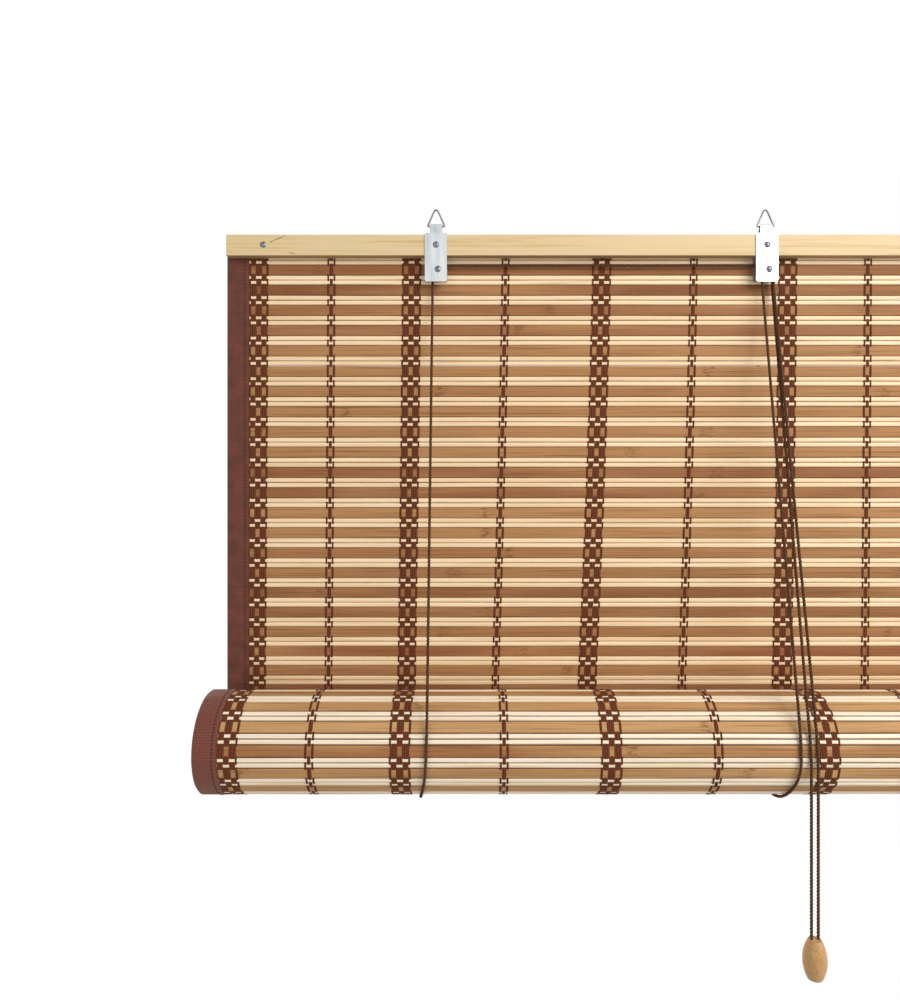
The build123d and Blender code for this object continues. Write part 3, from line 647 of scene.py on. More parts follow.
def rope_tree():
    """A cord of three strands: a lobed section that twists along the route."""
    tree, given = new_tree("twisted cord", {"Diameter": "Float", "Twist": "Float", "Material": "Material"})
    path = add(tree, "GeometryNodeMeshToCurve", {}, {"Mesh": given["Geometry"]})
    fine = add(tree, "GeometryNodeResampleCurve", {"mode": "LENGTH"}, {"Curve": path, "Length": ROPE_STEP})
    run = add(tree, "GeometryNodeSplineParameter")
    turns = add(
        tree, "ShaderNodeMath", {"operation": "DIVIDE"},
        {0: run.outputs["Length"], 1: given["Twist"]},
    )
    tilt = add(tree, "ShaderNodeMath", {"operation": "MULTIPLY"}, {0: turns, 1: 2 * math.pi})
    twisted = add(tree, "GeometryNodeSetCurveTilt", {}, {"Curve": fine, "Tilt": tilt})
    ring = add(tree, "GeometryNodeCurvePrimitiveCircle", {}, {"Resolution": ROPE_CORNERS, "Radius": 1.0})
    place = add(tree, "GeometryNodeInputPosition")
    apart = add(tree, "ShaderNodeSeparateXYZ", {}, {0: place})
    angle = add(tree, "ShaderNodeMath", {"operation": "ARCTAN2"}, {0: apart.outputs[1], 1: apart})
    strands = add(tree, "ShaderNodeMath", {"operation": "MULTIPLY"}, {0: angle, 1: ROPE_STRANDS})
    lobe = add(tree, "ShaderNodeMath", {"operation": "COSINE"}, {0: strands})
    share = add(tree, "ShaderNodeMapRange", {}, {0: lobe, 1: -1.0, 2: 1.0, 3: 0.0, 4: 1.0})
    marked = add(
        tree, "GeometryNodeStoreNamedAttribute", {"data_type": "FLOAT", "domain": "POINT"},
        {"Geometry": ring, "Name": "groove", "Value": share},
    )
    radius = add(tree, "ShaderNodeMapRange", {}, {0: lobe, 1: -1.0, 2: 1.0, 3: ROPE_GROOVE, 4: 1.0})
    lobed = add(tree, "ShaderNodeVectorMath", {"operation": "SCALE"}, {0: place, "Scale": radius})
    shaped = add(tree, "GeometryNodeSetPosition", {}, {"Geometry": marked, "Position": lobed})
    half = add(tree, "ShaderNodeMath", {"operation": "MULTIPLY"}, {0: given["Diameter"], 1: 0.5})
    size = add(tree, "ShaderNodeCombineXYZ", {}, {"X": half, "Y": half, "Z": 1.0})
    section = add(tree, "GeometryNodeTransform", {}, {"Geometry": shaped, "Scale": size})
    swept = add(
        tree, "GeometryNodeCurveToMesh", {},
        {"Curve": twisted, "Profile Curve": section, "Fill Caps": True},
    )
    end_tree(tree, swept, given["Material"])
    return tree


def tree_named(name, maker):
    return bpy.data.node_groups.get(name) or maker()


def plain_mesh(name, source):
    """The evaluated source as a new piece with a plain mesh; the source goes."""
    graph = bpy.context.evaluated_depsgraph_get()
    mesh = bpy.data.meshes.new_from_object(source.evaluated_get(graph), depsgraph=graph)
    bpy.data.objects.remove(source)
    return link(bpy.data.objects.new(name, mesh))


def grow(name, tree, points, edges, inputs, attributes=None):
    """Runs a node tree on points and edges, and keeps the result as a plain mesh."""
    mesh = bpy.data.meshes.new(name + "_base")
    mesh.from_pydata(points, edges, [])
    for key, values in (attributes or {}).items():
        mesh.attributes.new(key, "FLOAT", "POINT").data.foreach_set("value", values)
    source = link(bpy.data.objects.new(name + "_source", mesh))
    modifier = source.modifiers.new("grow", "NODES")
    modifier.node_group = tree
    for item in tree.interface.items_tree:
        if item.in_out == "INPUT" and item.name in inputs:
            modifier[item.identifier] = inputs[item.name]
    return smooth(plain_mesh(name, source))


def grid_piece(name, rows, material, closed=False, thickness=0.0):
    """A surface through rows of (point, across, along), with its finish and its thickness."""
    wide = len(rows[0])
    points = [spot[0] for row in rows for spot in row]
    faces = []
    last = len(rows) if closed else len(rows) - 1
    for i in range(last):
        here = i * wide
        there = (i + 1) % len(rows) * wide
        for j in range(wide - 1):
            faces.append((here + j, here + j + 1, there + j + 1, there + j))
    mesh = bpy.data.meshes.new(name)
    mesh.from_pydata(points, [], faces)
    mesh.materials.append(material)
    for index, key in ((1, "across"), (2, "along")):
        values = [spot[index] for row in rows for spot in row]
        mesh.attributes.new(key, "FLOAT", "POINT").data.foreach_set("value", values)
    piece = link(bpy.data.objects.new(name, mesh))
    if thickness:
        solid = piece.modifiers.new("thickness", "SOLIDIFY")
        solid.thickness = thickness
        solid.offset = -1.0
        piece = plain_mesh(name, piece)
    return smooth(piece, 60)


# The mat's layout

# Sticks after each wide slat, and all that a period holds
STICKS = 2
PICKS = STICKS + 1
# How the slip goes on down the mat: above 1, it is most of all in the lower half
SLIP_CURVE = 1.5
# How far the warp columns stray to the left: at the edges, how much more near the middle, and over what drop
STRAY_EDGE = 2.5 * MM
STRAY_MORE = 12.5 * MM
STRAY_MIDDLE = 12 * MM
STRAY_WIDTH = 160 * MM
STRAY_DROP = 430 * MM
STRAY_CURVE = 1.3
# The middle column starts a little to the right.
START_SHIFT = 2.3 * MM
START_WIDTH = 50 * MM
# Share of the stray that the columns keep on the roll
ROLL_STRAY = 0.5
# Tape: its height over a slat, its rise to a stick and the run of that, and its dimples between them
TAPE_LIE = 0.55 * MM
TAPE_RISE = 0.35 * MM
TAPE_RISE_RUN = 2 * MM
TAPE_DIMPLE = 0.05 * MM
TAPE_DIMPLE_WIDTH = 0.6 * MM
# Slats end this far inside the tape's fold.
SLAT_END_INSET = 1.2 * MM
# Thickness of the sheet of painted shade that closes the gaps
WEB_THICKNESS = 0.3 * MM


def period(size):
    return size.slat_height + STICKS * size.stick_height + PICKS * size.pick_gap


def picks(size, first, last):
    """Place along the mat, height and thickness of each slat and stick, period by period."""
    found = []
    for k in range(first, last):
        place = k * period(size)
        found.append((place, size.slat_height, size.slat_thickness))
        place += (size.slat_height + size.stick_height) / 2 + size.pick_gap
        for _ in range(STICKS):
            found.append((place, size.stick_height, size.stick_thickness))
            place += size.stick_height + size.pick_gap
    return found


def hang_periods(size):
    return round((MAT_TOP - MAT_BOTTOM) / period(size))


def split_period(size):
    """The first period that the roll takes up when it is lifted."""
    return math.floor((MAT_TOP - MAT_BOTTOM - LIFT_RANGE) / period(size))


def slip(size, place):
    """How far the slats have slipped down their warp, most of all in the lower half."""
    share = (place + size.slat_height / 2) / (MAT_TOP - MAT_BOTTOM)
    return size.slip * math.sin(math.pi * min(max(share, 0.0), 1.0) ** SLIP_CURVE)


def on_sheet(size, place, out):
    return MAT_Y - out, MAT_TOP - size.slat_height / 2 - place - slip(size, place)


def roll_angle(size, place):
    return size.roll_phase + place * 2 * math.pi / (size.roll_periods * period(size))


def on_roll(size, place, out):
    angle = roll_angle(size, place)
    radius = size.turn_radius + out
    return ROLL.y + radius * math.cos(angle), ROLL.z + radius * math.sin(angle)


def columns(size):
    """Places of the warp columns, and which of them are wide."""
    found = [(i * size.column_pitch, i % 2 == 0) for i in range(-2, 3)]
    for side in (-1, 1):
        found.append((side * (EDGE_X - size.edge_inset), True))
        found.append((side * (EDGE_X - size.outer_inset), False))
    return found


def lean(x, drop, share=1.0):
    """How far a warp column has strayed to the left at a drop below the rail."""
    sway = STRAY_EDGE + STRAY_MORE * math.exp(-((x - STRAY_MIDDLE) / STRAY_WIDTH) ** 2)
    start = -START_SHIFT * math.exp(-(x / START_WIDTH) ** 2)
    return start + share * sway * min(max(drop / STRAY_DROP, 0.0), 1.0) ** STRAY_CURVE


def tape_swell(size, place):
    """Height of the tape over the mat's middle: it follows the slats and sticks under it."""
    step = period(size)
    near = (place + step / 2) % step - step / 2
    flat = size.slat_height / 2
    rise = min(max((abs(near) - flat) / TAPE_RISE_RUN, 0.0), 1.0)
    rise = rise * rise * (3 - 2 * rise)
    height = size.slat_thickness / 2 + TAPE_LIE + rise * TAPE_RISE
    for seam in (flat, flat + size.stick_height, flat + 2 * size.stick_height):
        for away in (near - seam, near + seam, near + seam - step, near - seam + step):
            height -= TAPE_DIMPLE * math.exp(-(away / TAPE_DIMPLE_WIDTH) ** 2)
    return height


SPANS = ("upper", "lower", "roll")
# Draws of the tones of sticks and slats: the roll's has light slats above a dark one in front
TONE_SEEDS = {"upper": (0, 1), "lower": (2, 3), "roll": (4, 3243)}


def span_picks(size, span):
    whole = hang_periods(size)
    cut = split_period(size)
    chosen = {"upper": (0, cut), "lower": (cut, whole), "roll": (0, size.roll_periods)}[span]
    return picks(size, *chosen)


def span_path(span):
    return on_roll if span == "roll" else on_sheet


def carry(piece, span):
    """Sets what a piece of the mat moves with: the head or the roll; a piece of the lower span gets a mesh of
    its own.
    """
    if span == "roll":
        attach(piece, "roll")
    else:
        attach(piece, "head")
    if span == "lower":
        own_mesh(piece)
    return piece


def bars(size, span, kind):
    """Wide slats or thin sticks of one span of the mat."""
    wide = kind == "slats"
    height = size.slat_height if wide else size.stick_height
    if span == "roll":
        height -= size.roll_gap - size.pick_gap
    chosen = [pick for i, pick in enumerate(span_picks(size, span)) if (i % PICKS == 0) == wide]
    path = span_path(span)
    points = [(0, *path(size, pick[0], 0)) for pick in chosen]
    turns = [roll_angle(size, pick[0]) if span == "roll" else 0.0 for pick in chosen]
    reach = TAPE_INNER_X if span == "roll" else EDGE_X - SLAT_END_INSET
    wood = "steamed_bamboo" if wide else "pale_bamboo"
    inputs = {
        "Length": 2 * reach,
        "Height": height,
        "Thickness": size.slat_thickness if wide else size.stick_thickness,
        "Rounding": size.slat_rounding if wide else size.stick_rounding,
        "Wander": size.wander,
        "Seed": TONE_SEEDS[span][wide],
        "Material": finish(wood + "_back" if span == "roll" else wood),
    }
    piece = grow(f"{kind}_{span}", tree_named("bamboo bars", bars_tree), points, [], inputs, {"turn": turns})
    return carry(piece, span)


def gap_shade_web(size, span):
    """The thin dark layer in the mat's middle that closes the gaps: a sheet of painted shade, darker in the
    roll.
    """
    chosen = span_picks(size, span)
    path = span_path(span)
    start = chosen[0][0] - size.slat_height / 2
    end = chosen[-1][0] + size.stick_height / 2
    reach = TAPE_INNER_X
    count = PICKS * size.roll_periods if span == "roll" else 2
    step = (end + size.pick_gap - start) / count if span == "roll" else (end - start) / (count - 1)
    rows = []
    for i in range(count):
        y, z = path(size, start + i * step, 0)
        rows.append([((x, y, z), x, i * step) for x in (-reach, reach)])
    # The gaps get painted shade, darker inside the roll.
    shade = finish("deep_gap_shade" if span == "roll" else "shaded_gap")
    piece = grid_piece(f"gap_shade_web_{span}", rows, shade, span == "roll", WEB_THICKNESS)
    return carry(piece, span)


class BLIND_OT_mat(bpy.types.Operator):
    """Slats and sticks of the hanging mat and of the roll"""

    bl_idname = "blind.mat"
    bl_label = "Bamboo mat"

    def execute(self, context):
        size = context.scene.blind_sizes
        for span in SPANS:
            slats = bars(size, span, "slats")
            bars(size, span, "sticks")
            gap_shade_web(size, span)
            if span != "lower":
                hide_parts("roll_mat" if span == "roll" else "hanging_mat")
        return {"FINISHED"}


# Where a yarn bends round a slat or stick, in front and behind: shares of its reach and of its height
YARN_BENDS = {1: (0.98, 0.85), -1: (0.92, 0.95)}
# Share of a wide slat's height, from its middle, over which a yarn lies flat and spread
YARN_FLAT = 0.3
# Places of the single yarns beside a wide and a narrow column, in band pitches from its middle
EDGE_PLACE = 1.62
RIM_PLACE = 0.58


def yarn_path(size, span, x, odd):
    """Points and widths of a yarn that goes over and under the slats and sticks in turn."""
    path = span_path(span)
    half = size.yarn_thickness / 2
    points = []
    spreads = []

    def go(place, out, spread=1.0):
        y, z = path(size, place, out)
        stray = lean(x, STRAY_DROP, ROLL_STRAY) if span == "roll" else lean(x, place)
        points.append((x - stray, y, z))
        spreads.append(spread)

    first = 0 if span != "lower" else PICKS * split_period(size)
    for i, (place, height, thickness) in enumerate(span_picks(size, span), first):
        wide = i % PICKS == 0
        side = 1 if i % 2 == odd else -1
        out = side * (thickness / 2 + half)
        # In front, the yarn lies over the edges of the neighbours that it goes under.
        edge = (height + size.pick_gap) / 2 + side * size.yarn_reach
        bend, rise = YARN_BENDS[side]
        seen = side > 0 or span != "roll"
        if span != "roll" or points:
            go(place - edge, 0)
        if seen:
            go(place - bend * edge, rise * out)
        if wide:
            go(place - YARN_FLAT * height, out, size.slat_spread)
            go(place + YARN_FLAT * height, out, size.slat_spread)
        else:
            go(place, out)
        if seen:
            go(place + bend * edge, rise * out)
    go(place + edge, 0)
    return points, spreads


def yarns(size, span, kind):
    """All yarns of one kind and span."""
    # In wide columns, width, and for each yarn its place in band pitches and if it goes over odd picks
    layout = {
        "bands": (True, size.band_width, ((-1, 0), (0, 1), (1, 0))),
        "edges": (True, size.edge_yarn_width, ((-EDGE_PLACE, 1), (EDGE_PLACE, 1))),
        "narrow": (False, size.narrow_width, ((0, 1),)),
        "rims": (False, size.edge_yarn_width, ((-RIM_PLACE, 0), (RIM_PLACE, 0))),
    }
    wide, width, places = layout[kind]
    points = []
    spreads = []
    edges = []
    for x, is_wide in columns(size):
        if is_wide != wide:
            continue
        for offset, odd in places:
            start = len(points)
            line, spread = yarn_path(size, span, x + offset * size.band_pitch, odd)
            points += line
            spreads += spread
            edges += [(i, i + 1) for i in range(start, len(points) - 1)]
            if span == "roll":
                edges.append((len(points) - 1, start))
    inputs = {"Width": width, "Thickness": size.yarn_thickness, "Material": finish("warp_cotton")}
    tree = tree_named("warp yarn", yarn_tree)
    piece = grow(f"yarn_{kind}_{span}", tree, points, edges, inputs, {"spread": spreads})
    return carry(piece, span)


class BLIND_OT_yarn(bpy.types.Operator):
    """Warp yarn woven over and under the slats and sticks"""

    bl_idname = "blind.yarn"
    bl_label = "Warp yarn"

    def execute(self, context):
        size = context.scene.blind_sizes
        for span in SPANS:
            made = [yarns(size, span, kind) for kind in ("bands", "edges", "narrow", "rims")]
            if span == "upper":
                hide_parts("front_warp_bands", "back_warp_bands")
            if span == "roll":
                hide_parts("roll_warp_bands")
        return {"FINISHED"}


# Tape: steps of its flat sides and of its fold, distance of its rows, and height of the stitches over it
FLAT_STEPS = 6
FOLD_STEPS = 8
TAPE_STEP = 1.3 * MM
STITCH_LIFT = 0.05 * MM
# Tape of the inner turns: how deep it is made, and its half thickness
INNER_DEPTH = 8 * MM
INNER_SWELL = 1.8 * MM
# The spiral starts a seventh of a turn early, sunk by a quarter of a pitch, and ends in the core.
SPIRAL_LEAD = 7
SPIRAL_SINK = 0.75
# Facets between the roll's first slat and the spiral's first full turn
SPIRAL_SHIFT = 3


def fold_section(side, swell, depth):
    """The tape's section: out along the front, round the fold and in along the back."""
    spots = []
    inner = EDGE_X - depth
    flat = depth - swell
    for i in range(FLAT_STEPS + 1):
        spots.append((inner + flat * i / FLAT_STEPS, swell))
    for i in range(1, FOLD_STEPS):
        angle = math.pi / 2 - math.pi * i / FOLD_STEPS
        spots.append((EDGE_X - swell + swell * math.cos(angle), swell * math.sin(angle)))
    for i in range(FLAT_STEPS + 1):
        spots.append((EDGE_X - swell - flat * i / FLAT_STEPS, -swell))
    return [(side * x, out) for x, out in spots]


def tape_rows(size, side, path, places, depth):
    rows = []
    for place in places:
        row = []
        across = 0.0
        before = None
        for x, out in fold_section(side, tape_swell(size, place), depth):
            if before is not None:
                across += math.dist(before, (x, out))
            before = (x, out)
            y, z = path(size, place, out)
            row.append(((x, y, z), across, place))
        rows.append(row if side < 0 else row[::-1])
    return rows


def even(start, end, step):
    count = max(2, round((end - start) / step))
    return [start + (end - start) * i / count for i in range(count + 1)]


def tape(size, span, side):
    """Binding tape of one span, with its seam."""
    name = {-1: "left", 1: "right"}[side]
    depth = EDGE_X - TAPE_INNER_X
    path = span_path(span)
    chosen = span_picks(size, span)
    start = chosen[0][0] - (size.slat_height + size.pick_gap) / 2
    end = chosen[-1][0] + (size.stick_height + size.pick_gap) / 2
    if span == "roll":
        places = even(start, end, TAPE_STEP)
    else:
        top = -size.slat_height / 2
        places = even(max(start, top), min(end, top + MAT_TOP - MAT_BOTTOM), TAPE_STEP)
    rows = tape_rows(size, side, path, places, depth)
    # On the roll the tape takes its lighter copy: the reverse, lightened as painted light.
    cloth = finish("cotton_tape_back_lit" if span == "roll" else "cotton_tape")
    piece = grid_piece(f"tape_{name}_{span}", rows, cloth, False, size.tape_thickness)
    carry(piece, span)
    seam = []
    edges = []
    for out_side in (1, -1) if span != "roll" else (1,):
        first = len(seam)
        for place in places:
            y, z = path(size, place, out_side * (tape_swell(size, place) + STITCH_LIFT))
            seam.append((side * (TAPE_INNER_X + size.stitch_inset), y, z))
        edges += [(i, i + 1) for i in range(first, len(seam) - 1)]
    inputs = {"Pitch": size.stitch_pitch, "Material": finish("stitch_thread")}
    stitches = grow(f"stitches_{name}_{span}", tree_named("stitches", stitch_tree), seam, edges, inputs)
    carry(stitches, span)
    width = 2 * depth + math.pi * tape_swell(size, 0) - 2 * tape_swell(size, 0)
    return piece


def tape_spiral(size, side):
    """Folded tape edges of the inner turns, seen at the end of the roll."""
    name = {-1: "left", 1: "right"}[side]
    facets = PICKS * size.roll_periods
    rows = []
    run = 0.0
    start = facets // SPIRAL_LEAD
    for i in range(-start, round(size.inner_turns * facets) + 1):
        angle = size.roll_phase + (i + SPIRAL_SHIFT) * 2 * math.pi / facets
        sunk = 1 + i / facets if i > 0 else 1 + SPIRAL_SINK * i / start
        radius = size.turn_radius - size.turn_pitch * sunk
        run += radius * 2 * math.pi / facets
        row = []
        for x, out in fold_section(side, INNER_SWELL, INNER_DEPTH):
            y = ROLL.y + (radius + out) * math.cos(angle)
            z = ROLL.z + (radius + out) * math.sin(angle)
            row.append(((x, y, z), abs(x) + out, run))
        rows.append(row if side < 0 else row[::-1])
    # The inner turns take the roll's tape colour, lightened as painted light.
    cloth = finish("cotton_tape_back_lit")
    piece = grid_piece(f"tape_{name}_inner_turns", rows, cloth, False, size.tape_thickness)
    return carry(piece, "roll")


class BLIND_OT_tape(bpy.types.Operator):
    """Binding tape folded round the slat ends, with its seams"""

    bl_idname = "blind.tape"
    bl_label = "Binding tape"

    def execute(self, context):
        size = context.scene.blind_sizes
        for side, name in ((-1, "left"), (1, "right")):
            made = {span: tape(size, span, side) for span in SPANS}
            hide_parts(f"{name}_binding")
            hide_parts(f"roll_{name}_binding")
            tape_spiral(size, side)
        return {"FINISHED"}


def route_points(name, points):
    """Points of the smooth line that has a route's points as its control points."""
    curve = bpy.data.curves.new(name, "CURVE")
    curve.dimensions = "3D"
    curve.resolution_u = 16
    spline = curve.splines.new("NURBS")
    spline.points.add(len(points) - 1)
    for spot, place in zip(spline.points, points):
        spot.co = (*place, 1.0)
    spline.order_u = 3
    spline.use_endpoint_u = True
    line = link(bpy.data.objects.new(name, curve))
    mesh = bpy.data.meshes.new_from_object(line)
    found = [tuple(v.co) for v in mesh.vertices]
    bpy.data.objects.remove(line)
    bpy.data.meshes.remove(mesh)
    return found


def cord(size, name, points, far_end="object", lay="taut", with_pieces=()):
    """A twisted cord along a route."""
    line = route_points(name + "_route", points)
    edges = [(i, i + 1) for i in range(len(line) - 1)]
    inputs = {"Diameter": size.cord_diameter, "Twist": size.cord_twist, "Material": finish("twisted_cotton")}
    piece = grow(name, tree_named("twisted cord", rope_tree), line, edges, inputs)
    return piece


# Routes of the cords: corners near the pulleys and the roll, in metres
PULLEY_PITCH_RADIUS = 5.6 * MM
GROOVE_SHIFT = 1.8 * MM
GROOVE_Y = {"left": AXLE["left"].y + GROOVE_SHIFT, "right": AXLE["left"].y - GROOVE_SHIFT}
TOP_RUN_Z = AXLE["left"].z + PULLEY_PITCH_RADIUS
PULL_X = AXLE["right"].x + PULLEY_PITCH_RADIUS
LEAD = 17 * MM
LEAD_Z = AXLE["left"].z - LEAD
LOW_Z = AXLE["left"].z - PULLEY_PITCH_RADIUS
# Round the roll: the cord's radius, its corners in front, and those behind, below its start and from the axis
CORD_ROUND = 48.5 * MM
ROLL_CORNER = 20.1 * MM
BACK_CORNER = 23 * MM
UNDER_CORNER = 22 * MM
UNDER_Z = ROLL.z - CORD_ROUND
FRONT_Y = ROLL.y - CORD_ROUND
SPLIT_RISE = 45 * MM
# The loop drifts to the left below the roll, and by a fifth of that in front of it.
LOOP_DRIFT = 8 * MM
FRONT_DRIFT = LOOP_DRIFT / 5
PULL_SPREAD = {"left": -3 * MM, "right": 3 * MM}


def split_place(y):
    """Where a cord that comes down from the bracket is split, above the point where it touches the roll."""
    across = ROLL.y - y
    down = ROLL.z - LEAD_Z
    span = math.hypot(across, down)
    angle = math.atan2(-down, -across) + math.acos(CORD_ROUND / span)
    touch = (ROLL.y + CORD_ROUND * math.cos(angle), ROLL.z + CORD_ROUND * math.sin(angle))
    away = (y - touch[0], LEAD_Z - touch[1])
    share = SPLIT_RISE / math.hypot(*away)
    return touch[0] + away[0] * share, touch[1] + away[1] * share


def lift_squash(piece):
    """Sets a run between a fixed point and the lifted roll to move with the head, with a mesh of its own."""
    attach(piece, "head")
    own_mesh(piece)


def lift_cords(size, side):
    """The lift cord of one bracket, from its knot round the roll to the bracket."""
    x = LIFT_XS[side]
    y = GROOVE_Y[side]
    split = split_place(y)
    top = highest(f"{side}_cord_back").z
    cut = LOOP_START_Z + LIFT_RANGE
    back = ((x, CORD_BACK_Y, top), (x, CORD_BACK_Y, (top + cut) / 2), (x, CORD_BACK_Y, cut))
    upper = cord(size, f"{side}_cord_back_upper", back)
    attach(upper, "head")
    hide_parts(f"{side}_cord_back")
    back = ((x, CORD_BACK_Y, cut), (x, CORD_BACK_Y, (LOOP_START_Z + cut) / 2), (x, CORD_BACK_Y, LOOP_START_Z))
    lower = cord(size, f"{side}_cord_back_lower", back)
    lift_squash(lower)
    under = (
        (x, CORD_BACK_Y, LOOP_START_Z),
        (x, CORD_BACK_Y, LOOP_START_Z - BACK_CORNER),
        (x - LOOP_DRIFT, ROLL.y + UNDER_CORNER, UNDER_Z),
        (x - LOOP_DRIFT, ROLL.y - ROLL_CORNER, UNDER_Z),
        (x - FRONT_DRIFT, FRONT_Y, ROLL.z - ROLL_CORNER),
        (x, FRONT_Y, ROLL.z + ROLL_CORNER / 2),
        (x, *split),
    )
    loop = cord(size, f"{side}_loop", under)
    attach(loop, "cradle")
    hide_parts(f"{side}_cord_loop")
    front = ((x, *split), (x, (split[0] + y) / 2, (split[1] + LEAD_Z) / 2), (x, y, LEAD_Z))
    run = cord(size, f"{side}_cord_front", front)
    lift_squash(run)
    head = [(x, y, LEAD_Z), (x, y, LOW_Z), (x, y, TOP_RUN_Z)]
    if side == "left":
        head.append((x + 2 * PULLEY_PITCH_RADIUS, y, TOP_RUN_Z))
        head.append((PULL_X - 2 * PULLEY_PITCH_RADIUS, y, TOP_RUN_Z))
    head += [(PULL_X, y, TOP_RUN_Z), (PULL_X, y, LOW_Z), (PULL_X, y, LEAD_Z)]
    over = cord(size, f"{side}_cord_over_pulley", head)
    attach(over, "head")
    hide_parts(f"{side}_cord_top")


def pull_cords(size, side):
    """The end of a lift cord that hangs over the roll down to the pull knob."""
    y = GROOVE_Y[side]
    x = PULL_X + PULL_SPREAD[side]
    split = split_place(y)
    middle_x = (x + PULL_X) / 2
    down = ((PULL_X, y, LEAD_Z), (middle_x, (split[0] + y) / 2, (split[1] + LEAD_Z) / 2), (x, *split))
    run = cord(size, f"{side}_pull_run", down)
    lift_squash(run)
    low = (
        (x, *split),
        (x, FRONT_Y, ROLL.z + ROLL_CORNER / 2),
        (x, FRONT_Y, ROLL.z - ROLL_CORNER),
        (x, FRONT_Y, KNOB_TOP_Z),
    )
    knob = [frame["nodes"]["pull_knob"]] if side == "left" else []
    end = cord(size, f"{side}_pull_end", low, "fitting" if knob else "object", "hanging", knob)
    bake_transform(end)
    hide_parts(f"{side}_cord_pull")


class BLIND_OT_cords(bpy.types.Operator):
    """Lift cords and pull cords"""

    bl_idname = "blind.cords"
    bl_label = "Cords"

    def execute(self, context):
        size = context.scene.blind_sizes
        for side in ("left", "right"):
            lift_cords(size, side)
            pull_cords(size, side)
        paint(finish("plain_cotton"), "left_cord_knot", "right_cord_knot")
        return {"FINISHED"}


class BLIND_OT_wood(bpy.types.Operator):
    """Finishes of the rails and of the pull knob"""

    bl_idname = "blind.wood"
    bl_label = "Rails and knob"

    def execute(self, context):
        paint(finish("planed_pine"), "front_rail", "back_rail", "bottom_rail")
        paint(finish("turned_beech"), "pull_knob")
        return {"FINISHED"}


class BLIND_OT_metal(bpy.types.Operator):
    """Finishes of the brackets, rings, screws, rivets and pulleys"""

    bl_idname = "blind.metal"
    bl_label = "Brackets and pulleys"

    def execute(self, context):
        paint(finish("zinc_sheet"), "left_bracket", "right_bracket")
        paint(finish("plated_steel"), "rail_screws", "bracket_screws", "left_axle", "right_axle")
        paint(finish("plated_steel"), "left_ring", "right_ring")
        paint(finish("moulded_nylon"), "left_pulley", "right_pulley")
        return {"FINISHED"}


# Photograph: its frame and where its optical axis and scale are
PHOTO_WIDTH = 900
PHOTO_HEIGHT = 1000
AXIS_PX = (475.4, 497.9)
MIDDLE_PX = 599.8
RAIL_MIDDLE_PX = 248.2
DISTANCE_PX = 740.3
MM_PER_PX = 1.01
SENSOR_MM = 36.0

# Lamps: place and aim in metres, width, height and watts
LAMPS = {
    "key": ((1.15, -1.35, 0.75), (0.3, 0, -0.3), 1.3, 1.0, 25.5),
    "side": ((1.3, -0.8, -0.2), (0.35, 0, -0.3), 0.6, 1.2, 5),
    "fill": ((-1.0, -1.4, -0.3), (-0.1, 0, -0.4), 1.2, 1.2, 4.5),
    "back": ((-0.9, 1.6, 0.5), (0, 0, -0.3), 1.4, 1.2, 18),
}
WORLD_LIGHT = 0.4
# Floor: its drop below the rail, its radius, its corners, and where on its radius it fades
FLOOR_DROP = 1.6
FLOOR_RADIUS = 1.15
FLOOR_CORNERS = 48
FLOOR_FADE = (0.35, 0.97)


def camera():
    data = bpy.data.cameras.new("camera")
    data.sensor_width = SENSOR_MM
    data.lens = DISTANCE_PX / PHOTO_HEIGHT * SENSOR_MM
    data.shift_x = (PHOTO_WIDTH / 2 - AXIS_PX[0]) / PHOTO_HEIGHT
    data.shift_y = (AXIS_PX[1] - PHOTO_HEIGHT / 2) / PHOTO_HEIGHT
    data.clip_start = 0.01
    eye = link(bpy.data.objects.new("camera", data))
    x = (AXIS_PX[0] - MIDDLE_PX) * MM_PER_PX * MM
    z = (RAIL_MIDDLE_PX - AXIS_PX[1]) * MM_PER_PX * MM
    mat_front = lowest("hanging_mat").y
    eye.location = (x, mat_front - DISTANCE_PX * MM_PER_PX * MM, z)
    eye.rotation_euler = (math.radians(90), 0, 0)
    bpy.context.scene.camera = eye


def lamp(name, place, aim, size_x, size_y, watts):
    data = bpy.data.lights.new(name, "AREA")
    data.shape = "RECTANGLE"
    data.size = size_x
    data.size_y = size_y
    data.energy = watts
    made = link(bpy.data.objects.new(name, data))
    made.location = place
    made.rotation_euler = (Vector(aim) - Vector(place)).to_track_quat("-Z", "Y").to_euler()


def white_world():
    """White where the camera, gloss or glass sees it, and a dimmer white as light."""
    world = bpy.data.worlds.new("studio")
    world.use_nodes = True
    tree = world.node_tree
    tree.nodes.clear()
    ray = add(tree, "ShaderNodeLightPath")
    either = add(
        tree, "ShaderNodeMath", {"operation": "MAXIMUM"},
        {0: ray.outputs["Is Camera Ray"], 1: ray.outputs["Is Glossy Ray"]},
    )
    seen = add(
        tree, "ShaderNodeMath", {"operation": "MAXIMUM"},
        {0: either, 1: ray.outputs["Is Transmission Ray"]},
    )
    light = add(tree, "ShaderNodeBackground", {}, {"Color": (1, 1, 1, 1), "Strength": WORLD_LIGHT})
    white = add(tree, "ShaderNodeBackground", {}, {"Color": (1, 1, 1, 1), "Strength": 1.0})
    mixed = add(tree, "ShaderNodeMixShader", {}, {0: seen, 1: light, 2: white})
    add(tree, "ShaderNodeOutputWorld", {}, {"Surface": mixed})
    bpy.context.scene.world = world


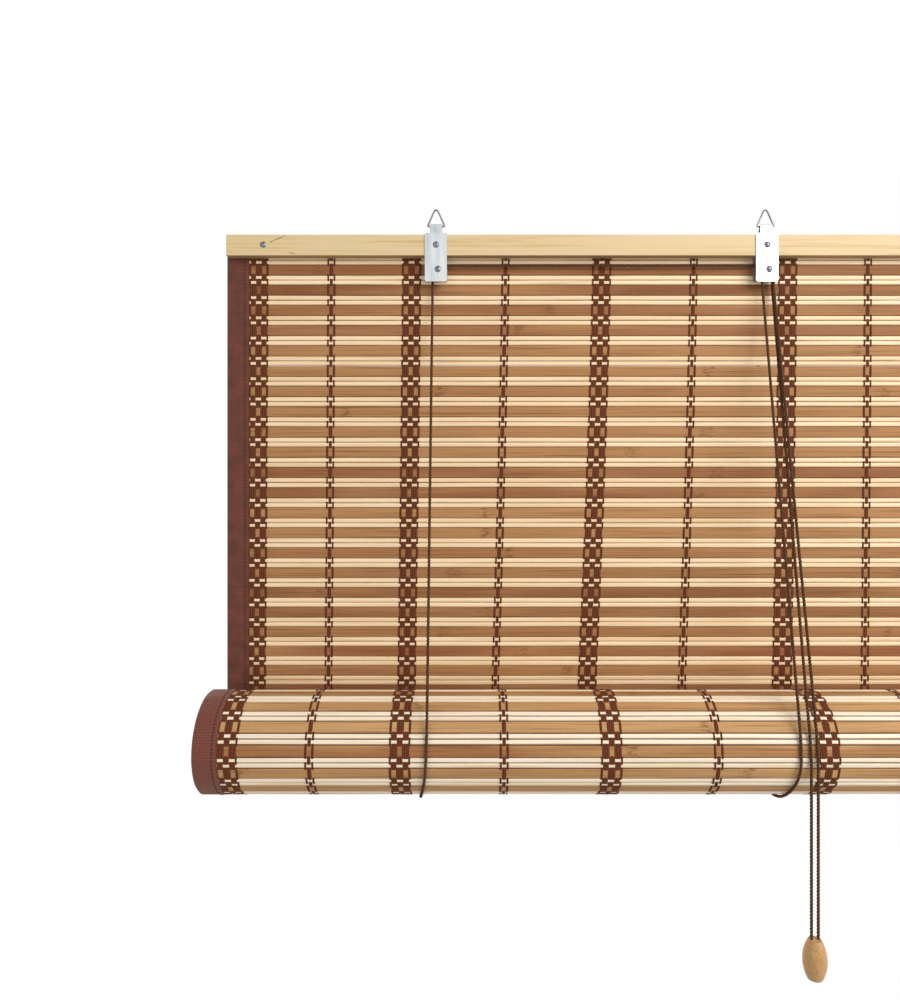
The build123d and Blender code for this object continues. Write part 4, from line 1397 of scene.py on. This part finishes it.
def pale_floor():
    """A pale floor below the blind that fades out towards its rim."""
    made, tree, shader = new_material("pale_floor", 0.8, 0.2)
    cloud = grain(tree, (300, 300, 300), detail=2.0)
    tone = add(tree, "ShaderNodeMix", RGBA, {0: cloud, 6: srgb("f4f3f1"), 7: srgb("faf9f8")})
    join(tree, shader, {"Base Color": tone})
    place = add(tree, "ShaderNodeTexCoord").outputs["Object"]
    flat = add(tree, "ShaderNodeVectorMath", {"operation": "MULTIPLY"}, {0: place, 1: (1, 1, 0)})
    away = add(tree, "ShaderNodeVectorMath", {"operation": "LENGTH"}, {0: flat}).outputs["Value"]
    near, far = (share * FLOOR_RADIUS for share in FLOOR_FADE)
    rim = add(tree, "ShaderNodeMapRange", {}, {0: away, 1: near, 2: far})
    clear = add(tree, "ShaderNodeBsdfTransparent")
    faded = add(tree, "ShaderNodeMixShader", {}, {0: rim, 1: shader, 2: clear})
    join(tree, tree.nodes["Material Output"], {"Surface": faded})
    turns = [2 * math.pi * i / FLOOR_CORNERS for i in range(FLOOR_CORNERS)]
    points = [(FLOOR_RADIUS * math.cos(turn), FLOOR_RADIUS * math.sin(turn), -FLOOR_DROP) for turn in turns]
    mesh = bpy.data.meshes.new("floor")
    mesh.from_pydata(points, [], [range(FLOOR_CORNERS)])
    mesh.materials.append(made)
    link(bpy.data.objects.new("floor", mesh))


class BLIND_OT_stage(bpy.types.Operator):
    """Floor, lamps, white surroundings and the camera"""

    bl_idname = "blind.stage"
    bl_label = "Stage"

    def execute(self, context):
        context.scene.view_settings.view_transform = "Standard"
        white_world()
        pale_floor()
        for name, settings in LAMPS.items():
            lamp(name, *settings)
        camera()
        return {"FINISHED"}


class BLIND_PT_panel(bpy.types.Panel):
    """Lists the blind's pieces in the sidebar"""

    bl_label = "Bamboo blind"
    bl_idname = "BLIND_PT_panel"
    bl_space_type = "VIEW_3D"
    bl_region_type = "UI"
    bl_category = "Blind"

    def draw(self, context):
        for piece in PIECES:
            self.layout.operator(piece.bl_idname)
        for group in (context.scene.blind_sizes, context.scene.blind_colours):
            box = self.layout.box()
            for key in group.__annotations__:
                box.prop(group, key)


PIECES = (
    BLIND_OT_stage, BLIND_OT_cords, BLIND_OT_wood, BLIND_OT_metal, BLIND_OT_mat, BLIND_OT_yarn, BLIND_OT_tape,
)
CLASSES = (BlindSizes, BlindColours, *PIECES, BLIND_PT_panel)


def register():
    for made in CLASSES:
        bpy.utils.register_class(made)
    bpy.types.Scene.blind_sizes = bpy.props.PointerProperty(type=BlindSizes)
    bpy.types.Scene.blind_colours = bpy.props.PointerProperty(type=BlindColours)


def unregister():
    del bpy.types.Scene.blind_colours
    del bpy.types.Scene.blind_sizes
    for made in reversed(CLASSES):
        bpy.utils.unregister_class(made)


def main():
    register()
    bpy.ops.blind.stage()
    bpy.ops.blind.cords()
    bpy.ops.blind.wood()
    bpy.ops.blind.metal()
    bpy.ops.blind.mat()
    bpy.ops.blind.yarn()
    bpy.ops.blind.tape()


if __name__ == "__main__":
    main()
